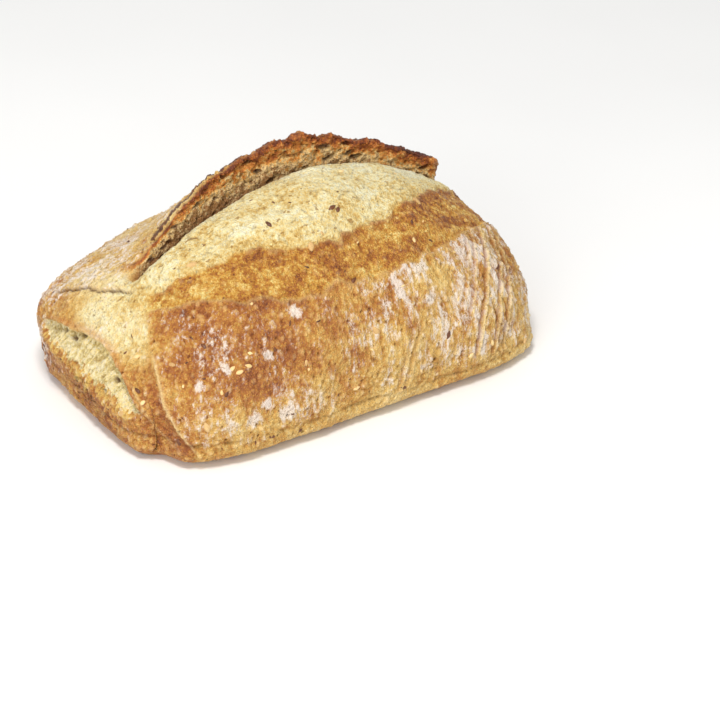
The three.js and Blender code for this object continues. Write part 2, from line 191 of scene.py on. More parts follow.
DRAW = np.random.default_rng(7)
SHUFFLE = DRAW.permutation(256)
SLOPES = DRAW.normal(size=(256, 3)).astype(np.float32)
SLOPES /= np.linalg.norm(SLOPES, axis=1, keepdims=True)
SPOTS = DRAW.random((256, 3)).astype(np.float32)
TAGS = DRAW.random(256).astype(np.float32)


def lattice(cell):
    """A number from 0 to 255 for each whole-numbered place."""
    return SHUFFLE[(SHUFFLE[(SHUFFLE[cell[:, 0] & 255] + cell[:, 1]) & 255] + cell[:, 2]) & 255]


def perlin(points):
    """Gradient noise, about -0.7 to 0.7."""
    cell = np.floor(points).astype(np.int64)
    local = (points - cell).astype(np.float32)
    fade = local ** 3 * (local * (local * 6 - 15) + 10)
    total = np.zeros(len(points), np.float32)
    for corner in product((0, 1), repeat=3):
        offset = np.array(corner)
        slopes = SLOPES[lattice(cell + offset)]
        weight = np.prod(np.where(offset == 1, fade, 1 - fade), axis=1)
        total += weight * np.einsum("ij,ij->i", slopes, local - offset.astype(np.float32))
    return total


def rough(points, octaves=4, gain=0.5):
    """Layered noise: each octave is twice as fine."""
    total = 0
    for n in range(octaves):
        total = total + gain ** n * perlin(points * 2 ** n + 17.3 * n)
    return total


def creases(points, octaves=3, gain=0.5):
    """Layered noise with sharp ridges near 1 and broad hollows near 0."""
    total = 0
    for n in range(octaves):
        total = total + gain ** n * (1 - np.clip(np.abs(perlin(points * 2 ** n + 31.7 * n)) * 2.6, 0, 1))
    return total / sum(gain ** n for n in range(octaves))


def spots(points):
    """Distance to the nearest scattered spot, and that spot's own number from 0 to 1."""
    cell = np.floor(points).astype(np.int64)
    nearest = np.full(len(points), 9.0, np.float32)
    tag = np.zeros(len(points), np.float32)
    for corner in product((-1, 0, 1), repeat=3):
        near = cell + np.array(corner)
        slot = lattice(near)
        distance = np.linalg.norm(points - (near + SPOTS[slot]), axis=1).astype(np.float32)
        closer = distance < nearest
        nearest = np.where(closer, distance, nearest)
        tag = np.where(closer, TAGS[slot], tag)
    return nearest, tag


def unevenness(x, y, z, wavelength, waves):
    """A smooth uneven field: sines in directions spread by the golden angle."""
    total = 0
    for n in range(waves):
        turn = n * 2.39996 + 0.7
        lift = 1 - (2 * n + 1) / waves
        flat = math.sqrt(1 - lift * lift)
        reach = 2 * math.pi * (1 + 0.37 * n) / wavelength
        along = x * flat * math.cos(turn) + y * flat * math.sin(turn) + z * lift
        total = total + np.sin(along * reach + 1.9 * n * n) / (1 + 0.37 * n)
    return total


# ---- The loaf's surface ---------------------------------------------------

def end_taper(xi, name):
    """How one of the ends' outlines closes: 1 at the middle of the length, 0 at the tips."""
    power = np.where(xi < 0, LEFT_END[name], RIGHT_END[name])
    return np.clip(1 - np.abs(xi) ** power, 0, 1) ** (1 / ROUND[name])


def section_reach(angle, power):
    """Distance from the section's centre to its rounded outline, at an angle."""
    return (np.abs(np.cos(angle)) ** power + np.abs(np.sin(angle)) ** power) ** (-1 / power)


def outline_table():
    """Steps along the plan outline from the middle to an end, and their length so far."""
    xi = np.sqrt(np.sin(np.linspace(0, np.pi / 2, 601)))
    y = end_taper(-xi, "plan") * HALF_WIDTH
    steps = np.hypot(np.diff(xi * HALF_LENGTH), 0.8 * np.diff(y))
    return xi, np.concatenate([[0], np.cumsum(steps)])


OUTLINE_XI, OUTLINE_LENGTH = outline_table()


def place_along(m):
    """The place along X, from -1 to 1, at a share m of the outline's length."""
    return np.sign(m) * np.interp(np.abs(m) * OUTLINE_LENGTH[-1], OUTLINE_LENGTH, OUTLINE_XI)


def slash_y(x):
    return SLASH_Y - SLASH_LEAN_LEFT * ease(0, -105, x) - SLASH_LEAN_RIGHT * ease(40, 100, x)


def slash_reach(x):
    """1 as far as the slash reaches to the right, 0 past its end."""
    return 1 - ease(SLASH_RIGHT - SLASH_END / 2, SLASH_RIGHT + SLASH_END / 2, x)


def slash_open(x):
    """How far open the slash is: 0 outside it, 1 along its middle."""
    return np.sin(np.pi / 2 * np.clip((x - SLASH_LEFT) / SLASH_RAMP, 0, 1)) * slash_reach(x)


def slash_gather(x):
    """How closely the surface follows the slash's two walls."""
    return ease(SLASH_LEFT - SLASH_END, SLASH_LEFT + SLASH_GATHER, x) * slash_reach(x)


def ear_height(x):
    t = np.clip((x - SLASH_LEFT) / EAR_RAMP, 0, 1)
    return EAR * (1.25 * t - 0.25 * t ** 5) * (1 - EAR_DIP * ease(EAR_DIP_FROM, EAR_DIP_TO, x))


def dome_sag(x, share):
    """How far the dome's edge sags, at a share of the way up to the slash."""
    return DOME_SAG * bell(x - DOME_SAG_X, DOME_SAG_HALF) * ease(0.3, 0.75, share) * ease(1, 0.88, share)


def ear_turn(x, share, gather):
    """Turn of a point of the ear: where the ear is low it stands straight over the slash."""
    lean = np.clip(1.6 * ear_height(x) / EAR, 0, 1)
    torn = mix(through(LOW_EAR_TURN, share), through(EAR_TURN, share), lean)
    return mix(EAR_SPAN * share ** 1.35, torn, gather)


def section_point(xi, angle):
    """The plain section at xi: a rounded hump above the waist, a tucked foot below."""
    upper_half = HALF_WIDTH * end_taper(xi, "plan")
    reach_up = section_reach(angle, TOP_SECTION)
    across = -np.cos(angle) * reach_up
    height = end_taper(xi, "top")
    drop = FAR_DROP * height * ease(0, 0.55, across)
    z_up = WAIST + np.sin(angle) * reach_up * ((CROWN - WAIST) * height - drop)
    reach_down = section_reach(angle, UNDER_SECTION)
    down = -np.sin(angle) * reach_down
    foot_half = HALF_WIDTH * end_taper(xi, "foot")
    half = mix(upper_half, foot_half, ease(0, 1, down))
    z_down = WAIST - down * UNDERCUT * end_taper(xi, "under")
    above = np.sin(angle) >= 0
    y = np.where(above, across * upper_half, -np.cos(angle) * reach_down * half)
    return y, np.where(above, z_up, np.maximum(z_down, 0))


def foot_angle(xi):
    """How far under the waist the flanks reach before the base cuts them flat."""
    depth = UNDERCUT * end_taper(xi, "under")
    down = np.minimum(1, WAIST / np.maximum(depth, 1e-6))
    return np.arctan2(down, (1 - down ** UNDER_SECTION) ** (1 / UNDER_SECTION))


def slash_angle(xi):
    half = np.maximum(HALF_WIDTH * end_taper(xi, "plan"), 1e-3)
    across = np.clip(slash_y(xi * HALF_LENGTH) / half, -0.5, 0.5)
    return np.arctan2((1 - np.abs(across) ** TOP_SECTION) ** (1 / TOP_SECTION), -across)


def turn_and_rise(face, share, xi):
    """Angle and rise of points given by their face and the share across it."""
    near_low = -foot_angle(xi)
    near_top = math.radians(NEAR_TOP)
    far_top = math.radians(FAR_TOP)
    x = xi * HALF_LENGTH
    opened = slash_open(x)
    gather = slash_gather(x)
    slash = slash_angle(xi)
    dome_turn = mix(-DOME_SPAN * (1 - share), through(DOME_TURN, share), gather)
    rise = through(EAR_RISE, share)
    tall = np.where(rise < 0, VALLEY, ear_height(x))
    angle = np.select(
        [face == NEAR, face == FAR, face == UNDER, face == DOME],
        [
            mix(near_low, near_top, share),
            mix(far_top, np.pi - near_low, share),
            mix(np.pi - near_low, 2 * np.pi + near_low, share),
            slash + dome_turn / DOME_SPAN * (slash - near_top),
        ],
        slash + ear_turn(x, share, gather) / EAR_SPAN * (far_top - slash),
    )
    sink = VALLEY * through(DOME_SINK, share) - dome_sag(x, share)
    return angle, opened * np.select([face == DOME, face == EAR_FACE], [sink, rise * tall], 0.0)


def from_notch(x, y):
    """Distance in plan from the notch beside the near left corner."""
    return np.hypot(x - NOTCH_X, y - NOTCH_Y)


def smooth_point(m, face, share):
    """Points of the smooth loaf, before the crust's relief."""
    xi = place_along(m)
    angle, rise = turn_and_rise(face, share, xi)
    y, z = section_point(xi, angle)
    x = xi * HALF_LENGTH
    notch = NOTCH_DEPTH * bell(from_notch(x, y), 9) * ease(60, 10, z)
    bulge = BULGE * ease(-62, -112, x) * ease(-22, 30, y) * bell(z - 52, 26)
    tip = EAR_TIP * np.clip(rise / EAR, 0, 1) * ease(72, SLASH_RIGHT, x)
    return np.stack([x + 0.7 * notch - bulge + tip, y + 0.7 * notch, z + rise], axis=-1)


def outward(m, face, share):
    """Outward directions of the smooth loaf, from small steps over its surface."""
    step = 2e-3
    inside = np.clip(m, -1 + 2 * step, 1 - 2 * step)
    along = smooth_point(inside + step, face, share) - smooth_point(inside - step, face, share)
    low = np.maximum(share - step, 0)
    high = np.minimum(share + step, 1)
    around = smooth_point(inside, face, high) - smooth_point(inside, face, low)
    normal = np.cross(along, around)
    normal /= np.linalg.norm(normal, axis=1, keepdims=True) + 1e-12
    tip = np.abs(m) > 1 - 2 * step
    normal[tip] = np.stack([np.sign(m[tip]), 0 * m[tip], 0 * m[tip]], axis=-1)
    return normal


# ---- The crust ------------------------------------------------------------

# The browned band on the near side: its upper edge meets the pale dome, its foot the
# flank. Both lie at y along the middle and bend back towards the two ends.
BAND_TOP = {"x": -2, "y": -43.5, "half": 92, "left": 27, "left_power": 1.35, "right": 34, "right_power": 1.95}
BAND_FOOT = {"y": -61.5, "half": 99, "left": 42, "right": 30, "power": 2.6}
BAND_FROM_X = (-106, -90)
BAND_TO_X = (112, 98)
BAND_FROM_Z = (30, 52)
# Off the near side and the dome, places count as this far below both edges.
OFF_BAND = -9

# Shares across the ear's face: its torn side ends and its rim begins round 0.5.
TORN_START = (0.0, 0.06)
TORN_END = (0.52, 0.47)
RIM_START = (0.3, 0.46)
RIM_END = (0.7, 0.53)
BURNT_FROM = 0.52
UP_EAR = [(0.12, 0), (0.25, 0.35), (0.38, 0.7), (0.47, 0.93), (0.53, 1.0)]

# The crack's height where y is 0, how it falls and bows with y, then the guide lines
# of the pleats at both ends and the groove above the base.
CRACK_Z = 66.2
CRACK_FALL = 0.33
CRACK_BOW = 0.0025
LEFT_PLEAT_X = -105.2
RIGHT_PLEAT_X = 63.8
GROOVE_Z = 12


def band_top_y(x):
    """Where the browned band ends and the pale dome begins."""
    out = np.abs((x - BAND_TOP["x"]) / BAND_TOP["half"])
    left = BAND_TOP["left"] * out ** BAND_TOP["left_power"]
    right = BAND_TOP["right"] * out ** BAND_TOP["right_power"]
    return BAND_TOP["y"] + np.where(x < BAND_TOP["x"], left, right)


def band_foot_y(x):
    """Where the flank's skin ends at the shoulder."""
    bend = np.where(x < 0, BAND_FOOT["left"], BAND_FOOT["right"])
    return BAND_FOOT["y"] + bend * np.abs(x / BAND_FOOT["half"]) ** BAND_FOOT["power"]


class Crust:
    """Points of the finished crust, with the fields that its colours are mixed by."""

    def __init__(self, m, face, share):
        self.m, self.face, self.share = m, face, share
        self.smooth = smooth_point(m, face, share)
        self.x, self.y, self.z = self.smooth.T
        self.normal = outward(m, face, share)
        self.gather = slash_gather(self.x)
        self.broad = np.zeros(len(m))
        self.fine = np.zeros(len(m))
        self.lift = np.zeros(len(m))
        self.fields = {}
        self.lumps()
        self.band()
        self.ear()
        self.burst()
        self.crack()
        self.pleats()
        self.skin()
        self.base_rim()
        self.sand()
        grounded = ease(0.5, 9, self.z)
        height = (self.broad + self.fine) * grounded
        self.points = self.smooth + self.normal * height[:, None]
        self.points[:, 2] += self.lift * grounded
        self.fields["fine"] = self.fine * grounded

    def near(self, scale, shift=0.0):
        """The smooth points as places in a noise field of this wavelength."""
        return self.smooth / scale + shift

    def wave(self, scale, shift=0.0):
        """Plain noise of this wavelength."""
        return perlin(self.near(scale, shift))

    def rough(self, scale, shift=0.0, octaves=3, gain=0.5):
        """Layered noise of this wavelength."""
        return rough(self.near(scale, shift), octaves, gain)

    def round_place(self, across, up):
        """Places in a noise field that runs round the loaf, stretched up its sides."""
        x, y, z = self.smooth.T
        around = ROUND_RADIUS * np.arctan2(y / HALF_WIDTH, x / HALF_LENGTH)
        lean = 0.08 * z * np.sign(x * y)
        return np.stack([(around + lean) / across, z / up, y / (2 * up)], axis=-1)

    def lumps(self):
        """Broad lumps, left out on the ear's torn face and at the notch."""
        x, y, z = self.smooth.T
        thick = np.where(self.face == EAR_FACE, ease(0.53, 0.8, self.share), 1)
        thick = thick * (1 - bell(from_notch(x, y), 16))
        broad = 0.5 * LUMP_HEIGHT * unevenness(x, y, z, LUMP_LENGTH, 6)
        self.broad += thick * (broad + 0.9 * self.rough(21))

    def band(self):
        """The pale dome's torn edge, and the lip where the flank's skin was cut."""
        x, y, z = self.smooth.T
        scallops = np.abs(self.wave((15, 60, 60), 2))
        ragged = 9 * scallops - 2.0 + 2.6 * self.rough((6, 20, 20), 6, 3, 0.6)
        dome = y - band_top_y(x) - ragged
        flaps = np.abs(self.wave((19, 60, 60), 5))
        torn_foot = self.rough((5, 20, 20), 7, 3, 0.6)
        shoulder = y - band_foot_y(x) - 7 * flaps + 1.4 - 1.3 * torn_foot
        facing = (self.face == DOME) | (self.face == NEAR)
        on_top = facing * ease(*BAND_FROM_Z, z) * ease(*BAND_FROM_X, x) * ease(*BAND_TO_X, x)
        some = ease(-0.25, 0.2, self.wave((11, 40, 40), 9) + 0.004 * x)
        out_of_slash = np.select([self.face == DOME, self.face == NEAR], [ease(1, 0.8, self.share), 1.0], 0.0)
        step = SKIN_STEP * ease(-0.6, 1.6, dome) * out_of_slash
        scab = some * (1.2 * ease(-3.2, -0.5, dome) * ease(0.5, -0.3, dome) - 0.6 * bell(dome - 1, 0.8))
        lip = mix(0.35, 0.8, ease(-40, 40, x)) * np.exp(np.minimum(shoulder, 0) / 8)
        lip = lip * ease(0.6, -0.3, shoulder)
        gutter = 0.35 * bell(shoulder + 0.3, 0.6) - 0.5 * bell(shoulder - 1.3, 1.0)
        self.broad += (step + scab + lip + gutter) * on_top
        self.fields["dome"] = mix(OFF_BAND, dome, ease(0.1, 0.7, on_top))
        self.fields["shoulder"] = mix(OFF_BAND, shoulder, ease(0.1, 0.7, on_top))
        self.fields["scab"] = some * on_top * ease(-4.2, -0.8, dome) * ease(0.9, -0.2, dome)
        # The cut edge's lip and a line along the dome's edge, where a highlight is painted.
        self.fields["edge"] = on_top * np.maximum(bell(shoulder + 0.1, 0.75), some * bell(dome + 0.6, 0.6))

    def ear(self):
        """The torn face of the ear, and the crags of its burnt rim."""
        on_ear = self.face == EAR_FACE
        torn = np.where(on_ear, ease(*TORN_START, self.share) * ease(*TORN_END, self.share), 0) * self.gather
        rim = np.where(on_ear, ease(*RIM_START, self.share) * ease(*RIM_END, self.share), 0) * self.gather
        pits, crags = self.pits_and_crags((torn + rim) > 0.01)
        size = np.clip(0.25 + ear_height(self.x) / EAR, 0, 1)
        knobs = self.rough(6.5, 33, 4, 0.6)
        crumbs = self.rough(2.6, 35, 3, 0.75)
        self.broad += size * torn * (1.0 * crags - 2.8 * pits + 1.0 * knobs + 1.1 * crumbs)
        self.broad += size * rim * (0.3 * crags + 0.6 * knobs + 0.5 * crumbs)
        uneven = 0.5 * RIM_HEIGHT * unevenness(self.x, 0, 0, RIM_LENGTH, 5)
        self.lift += size * rim * (uneven + 1.5 * self.rough(9, 34, 2) + 0.25 * crags)
        self.fields["torn"] = torn
        self.fields["up_ear"] = np.where(on_ear, np.interp(self.share, *zip(*UP_EAR)), 0)
        self.fields["pits"] = pits * torn
        self.fields["crags"] = crags * np.maximum(torn, rim)
        self.fields["burnt"] = self.burnt_rim(on_ear)
        # The gap at the foot of the ear's face, where shade is painted.
        self.fields["gap"] = np.where(on_ear, ease(0.26, 0.1, self.share), 0) * torn

    def pits_and_crags(self, some):
        """Bent pits and crags of torn crumb, worked out only where some is true."""
        pits = np.zeros(len(self.x))
        crags = np.zeros(len(self.x))
        if some.any():
            place = self.smooth[some]
            bent = place + 2.2 * np.stack([perlin(place / 6 + k) for k in (1, 5, 9)], axis=-1)
            wide, wide_tag = spots(bent / (10, 5, 4.4))
            fine, fine_tag = spots(bent / (4.2, 2.6, 2.2) + 3)
            hollow = ease(0.46, 0.2, wide) * (wide_tag > 0.62)
            pits[some] = hollow + 0.55 * ease(0.42, 0.16, fine) * (fine_tag > 0.55)
            crags[some] = 1.7 * rough(place / 7, 4, 0.6) + 0.9 * creases(place / (6, 5, 4) + 8, 2)
        return pits, crags

    def burnt_rim(self, on_ear):
        """How burnt the ear's rim is: most at its right tip, where it also reaches further down."""
        tall = ease(1, 5, ear_height(self.x)) * slash_reach(self.x)
        right_tip = ease(35, 80, self.x)
        front = BURNT_FROM - 0.05 * right_tip
        behind = np.where(on_ear, ease(front - 0.02, front + 0.03, self.share), 0) * tall
        back = ease(0.63, 0.54, self.share + 0.03 * self.rough(6, 14))
        return behind * back * (1 + 0.25 * right_tip)

    def burst(self):
        """The burst across the left end, with strands of stretched dough."""
        t = (BURST_FROM_Y - self.y) / (BURST_FROM_Y - BURST_TO_Y)
        inside = (self.x < -90) & (t > 0) & (t < 1)
        tt = np.clip(t, 1e-3, 1 - 1e-3)
        half = BURST_HALF * np.sin(np.pi * tt) ** 0.7
        middle_z = BURST_TOP_Z - BURST_FALL * tt ** 3.5
        offset = (self.z - middle_z) / half + 0.14 * self.rough(7, 9)
        fits = np.where(inside, np.minimum(1, half / 5), 0)
        lower = offset + 0.7 * self.rough((6, 3.5, 6), 44, 3, 0.6)
        shape = fits * ease(1, 0.86, offset) * ease(-0.75, -0.15, lower)
        deep = fits * ease(1, 0.84, offset) * ease(-1.2, 0.75, offset)
        around = fits * ease(1, 0.8, offset) * ease(-1.7, -0.9, offset)
        strands = self.strands()
        hole, tag = spots(self.near((9, 9, 7), 5))
        holes = ease(0.3, 0.12, hole) * (tag > 0.5) * shape
        lip = fits * bell(offset - 1.1, 0.13)
        self.broad += -BURST_DEPTH * deep + 0.8 * lip - 2.2 * holes
        self.broad += shape * 1.3 * self.rough((7, 7, 5), 42, 3, 0.6)
        self.fine += around * 0.9 * strands + shape * 0.5 * self.rough(2.4, 18, 2)
        self.fields["burst"] = shape
        self.fields["strands"] = strands * around
        self.fields["burst_deep"] = shape * ease(0.2, 0.95, offset)
        self.fields["burst_lip"] = fits * bell(offset - 1.14, 0.16)
        self.fields["burst_hole"] = holes

    def strands(self):
        """Thin slanting ridges, in patches."""
        x, y, z = self.smooth.T
        bent = 0.5 * self.wave(9, 40)
        slant = np.stack([(y + 0.5 * z) / 3.6 + bent, z / 15 + bent, x / 16], axis=-1)
        return ease(0.5, 0.9, creases(slant + 4, 2)) * ease(-0.4, 0.1, self.wave(8, 41))

    def crack(self):
        """The crack that runs on from the slash, under a flap of the top crust."""
        x, y, z = self.smooth.T
        level = CRACK_Z - CRACK_FALL * y - CRACK_BOW * y ** 2
        level += 2.4 * self.wave(13, 2) + 0.9 * self.wave(3.5, 2)
        within = ease(-82, -90, x) * ease(-12, -5, y) * ease(44, 36, y)
        above = z - level
        flap = 0.7 * ease(-0.25, 0.45, above) * ease(10, 1, above)
        self.broad += within * (flap - 0.9 * bell(above + 0.2, 0.5))
        # The crack's line, where shade is painted.
        self.fields["crack"] = within * bell(above + 0.15, 0.4)
        # The flap's lip above the crack, where a highlight is painted.
        self.fields["flap"] = within * bell(above - 0.6, 0.5)

    def pleats(self):
        """Folds of dough at both ends of the near flank: a hollow beside a thin ridge."""
        x, y, z = self.smooth.T
        up = z - 17
        from_left = x - (LEFT_PLEAT_X + 5.8 * ((z - 38) / 22) ** 2 + 1.2 * self.wave(12, 6))
        from_right = x - (RIGHT_PLEAT_X + 0.168 * up + 0.00637 * up ** 2 + 1.5 * self.wave(14, 8))
        near_side = ease(-34, -42, y)
        lines = np.zeros(len(x))
        fold_shadows = np.zeros(len(x))
        thin = np.where(x < 0, 0.6, 0.75)
        for place, weight, low in (
            (from_left, 0.7 * ease(-90, -93, x) * ease(-36, -46, y), 6),
            (from_left + 5 + 0.1 * z, 0.35 * ease(-96, -98, x) * ease(-30, -44, y), 6),
            (from_right, near_side, 12),
            (from_right - 12, 0.8 * near_side, 10),
            (from_right - 20, 0.8 * near_side, 10),
            (from_right + 9, 0.6 * near_side * ease(30, 45, z), 20),
            (from_right + 15, 0.45 * near_side * ease(40, 52, z), 20),
            (from_right + 46, 0.5 * near_side * ease(56, 40, z), 10),
            (from_right + 42, 0.35 * near_side * ease(50, 36, z), 10),
        ):
            here = weight * ease(low, low + 10, z) * ease(0.5, -0.5, self.fields["shoulder"])
            self.broad += here * (1.1 * bell(place - 0.2, thin) - 0.9 * bell(place + 1.9, 1.3))
            lines = np.maximum(lines, here * bell(place - 0.2, 0.85 * thin))
            # The hollow beside each ridge, where a shadow is painted.
            fold_shadows = np.maximum(fold_shadows, here * bell(place + 1.7, 1.1))
        self.fields["pleat"] = lines
        self.fields["fold_shadow"] = fold_shadows

    def skin(self):
        """The browned skin: upright puckers, crinkles, blisters and pinholes."""
        x, y, z = self.smooth.T
        shoulder = self.fields["shoulder"]
        browned = ease(0.6, -0.4, shoulder) * (1 - self.fields["torn"]) * (1 - self.fields["burst"])
        band = ease(-0.4, 0.6, shoulder) * ease(0.5, -0.5, self.fields["dome"])
        spread = browned + 0.7 * band
        strength = mix(0.35, 1.0, ease(-70, 90, x)) * ease(9, 20, z) * ease(84, 60, z)
        pucker = rough(self.round_place(3.4, 40), 3, 0.62)
        lines = creases(self.round_place(3.2, 34) + 6, 2)
        crinkle = creases(self.near((4.2, 4.2, 7), 15), 3)
        end = mix(0.7, 1.5, ease(55, 100, x))
        self.fine += browned * strength * end * (1.0 * pucker + 0.7 * (lines - 0.35))
        self.fine += (browned * 0.65 + band * 0.9) * (crinkle - 0.35)
        near_bubble, tag = spots(self.near((3.6, 3.6, 4.2), 1))
        bubble = np.clip(1 - (near_bubble / (0.2 + 0.3 * tag)) ** 2, 0, 1) * (tag > 0.3)
        near_hole, hole_tag = spots(self.near(4.4, 11))
        hole = ease(0.2, 0.07, near_hole) * (hole_tag > 0.4)
        self.fine += spread * (0.75 * bubble - 0.9 * hole) + 0.8 * spread * self.rough(2.4, 20, 3, 0.75)
        # Blister tops get a painted highlight; pinholes get painted shade.
        self.fields["bubble"] = spread * bubble
        self.fields["hole"] = spread * hole
        self.puckered = browned * strength * (0.07 * np.clip(pucker, -1, 1) - 0.12 * lines)

    def base_rim(self):
        """The rim that sat on the oven floor, and the broken groove above it."""
        x, y, z = self.smooth.T
        level = GROOVE_Z - 0.02 * x + 1.8 * self.wave(24, 4)
        broken = ease(-0.2, 0.25, self.wave((8, 8, 30), 12))
        groove = bell(z - level, 1.1) * mix(0.3, 1.0, broken)
        outside = (self.face == NEAR) | (self.face == FAR) | (np.abs(self.m) > END_START)
        lumps = 0.8 * self.rough((9, 9, 14), 16, 3, 0.6) * ease(16, 8, z)
        self.broad += np.where(outside, 0.6 * bell(z - 6, 3) - 1.0 * groove + lumps, 0)
        self.fields["groove"] = np.where(outside, groove, 0)
        self.under_groove = np.where(outside, ease(level + 0.6, level - 1.2, z), 0)

    def sand(self):
        """The dome's sandy grain and its small cracks."""
        dome = ease(-0.3, 0.8, self.fields["dome"])
        grain = self.rough(2.2, 3, 3, 0.7)
        chaps = ease(0.8, 0.97, creases(self.near((8, 6.5, 6.5), 13), 2))
        swell = 0.55 * self.rough((9, 6, 6), 24, 2)
        self.fine += dome * (0.6 * grain - 0.6 * chaps + swell)
        self.fields["chaps"] = dome * chaps
        # The sand's height, also painted paler where it stands up: painted light.
        self.fields["sand"] = dome * grain


# ---- The closed grid ------------------------------------------------------

ACROSS = CELLS["dome"] + CELLS["ear"]
DOME_EDGE = -1 + 2 * CELLS["dome"] / ACROSS


def rim_place(p, q):
    """Faces and shares at places (p, q) on the rim of the square from -1 to 1."""
    edge = 1 - 1e-9
    rules = [
        (q >= edge) & (p <= DOME_EDGE + 1e-9),
        q >= edge,
        q <= -edge,
        p <= -edge,
    ]
    faces = np.select(rules, [DOME, EAR_FACE, UNDER, NEAR], FAR)
    shares = np.select(
        rules,
        [(p + 1) / (DOME_EDGE + 1), (p - DOME_EDGE) / (1 - DOME_EDGE), (1 - p) / 2, (q + 1) / 2],
        (1 - q) / 2,
    )
    return faces, np.clip(shares, 0, 1)


class Grid:
    """The loaf's closed grid: a box of cells without its underside, then a fan for the base."""

    def __init__(self):
        self.numbers = {}
        along, flank = CELLS["along"], CELLS["flank"]
        i_all = np.arange(along + 1)
        j_all = np.arange(ACROSS + 1)
        k_all = np.arange(flank + 1)
        patches = [
            self.patch(i_all, j_all, lambda a, b: (a, b, np.full_like(a, flank)), False),
            self.patch(i_all, k_all, lambda a, b: (a, np.zeros_like(a), b), False),
            self.patch(i_all, k_all, lambda a, b: (a, np.full_like(a, ACROSS), b), True),
            self.patch(j_all, k_all, lambda a, b: (np.zeros_like(a), a, b), True),
            self.patch(j_all, k_all, lambda a, b: (np.full_like(a, along), a, b), False),
        ]
        keys = np.concatenate([p["keys"].ravel() for p in patches])
        self.keys, first_use = np.unique(keys, return_index=True)
        for p in patches:
            p["corners"] = np.searchsorted(self.keys, p["keys"])
        self.patches = patches
        self.corner_places()
        self.base_fan()

    def key(self, i, j, k):
        """One whole number for the corner (i, j, k) of the box of cells."""
        return (i.astype(np.int64) * (ACROSS + 1) + j) * (CELLS["flank"] + 1) + k

    def patch(self, rows, columns, place, flipped):
        """One side of the box: its corners' keys, and whether its quads turn the other way."""
        a, b = np.meshgrid(rows, columns, indexing="ij")
        return {"keys": self.key(*place(a, b)), "flipped": flipped}

    def corner_places(self):
        """Outline share, face and share across it for each corner of the grid."""
        flank, along = CELLS["flank"], CELLS["along"]
        k = self.keys % (flank + 1)
        j = self.keys // (flank + 1) % (ACROSS + 1)
        i = self.keys // (flank + 1) // (ACROSS + 1)
        p = -1 + 2 * j / ACROSS
        q = -1 + 2 * k / flank
        rim = np.maximum(np.abs(p), np.abs(q))
        safe = np.maximum(rim, 1e-6)
        self.face, self.share = rim_place(p / safe, q / safe)
        in_end = ((i == 0) | (i == along)) & (rim < 1 - 1e-9)
        body_m = END_START * (-1 + 2 * i / along)
        end_m = (1 - (1 - END_START) * rim) * np.where(i == 0, -1, 1)
        self.m = np.where(in_end, end_m, body_m)

    def base_fan(self):
        """Corners round the rim of the open underside, in order."""
        along = CELLS["along"]
        i_up = np.arange(along)
        j_up = np.arange(ACROSS)
        zero_i, zero_j = np.zeros_like(i_up), np.zeros_like(j_up)
        loop = np.concatenate([
            self.key(i_up, zero_i, zero_i),
            self.key(zero_j + along, j_up, zero_j),
            self.key(along - i_up, zero_i + ACROSS, zero_i),
            self.key(zero_j, ACROSS - j_up, zero_j),
        ])
        self.base_loop = np.searchsorted(self.keys, loop)

    def quads(self):
        """Corner numbers of all quads, patch by patch, facing out."""
        out = []
        for p in self.patches:
            c = p["corners"]
            quad = np.stack([c[:-1, :-1], c[1:, :-1], c[1:, 1:], c[:-1, 1:]], axis=-1)
            quad = quad[..., ::-1] if p["flipped"] else quad
            out.append(quad.reshape(-1, 4))
        return out


# ---- Objects and the bread's mesh -------------------------------------------

def add_object(name, data):
    made = bpy.data.objects.new(name, data)
    bpy.context.scene.collection.objects.link(made)
    return made


def add_piece(name, mesh):
    """A piece of the bread, in the frame's one body."""
    piece = add_object(name, mesh)
    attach(piece, "root")
    return piece


# Each patch of the surface has its own rectangle in the map, at one scale: left,
# bottom, width and height in millimetres of the whole sheet.
SHEET = 430
SHEET_PLACES = [
    (5, 5, 215, 160), (5, 172, 215, 92), (5, 272, 215, 92), (230, 5, 160, 92), (230, 105, 160, 92),
]
BASE_PLACE = (308, 312)


def patch_map(patch, place):
    """Map corners of a patch's quads, as fractions of the sheet."""
    left, bottom, width, height = place
    rows, columns = patch["corners"].shape
    u, v = np.meshgrid(np.linspace(0, 1, rows), np.linspace(0, 1, columns), indexing="ij")
    uv = np.stack([(left + width * u) / SHEET, (bottom + height * v) / SHEET], axis=-1)
    quad = np.stack([uv[:-1, :-1], uv[1:, :-1], uv[1:, 1:], uv[:-1, 1:]], axis=-2)
    quad = quad[..., ::-1, :] if patch["flipped"] else quad
    return quad.reshape(-1, 2)


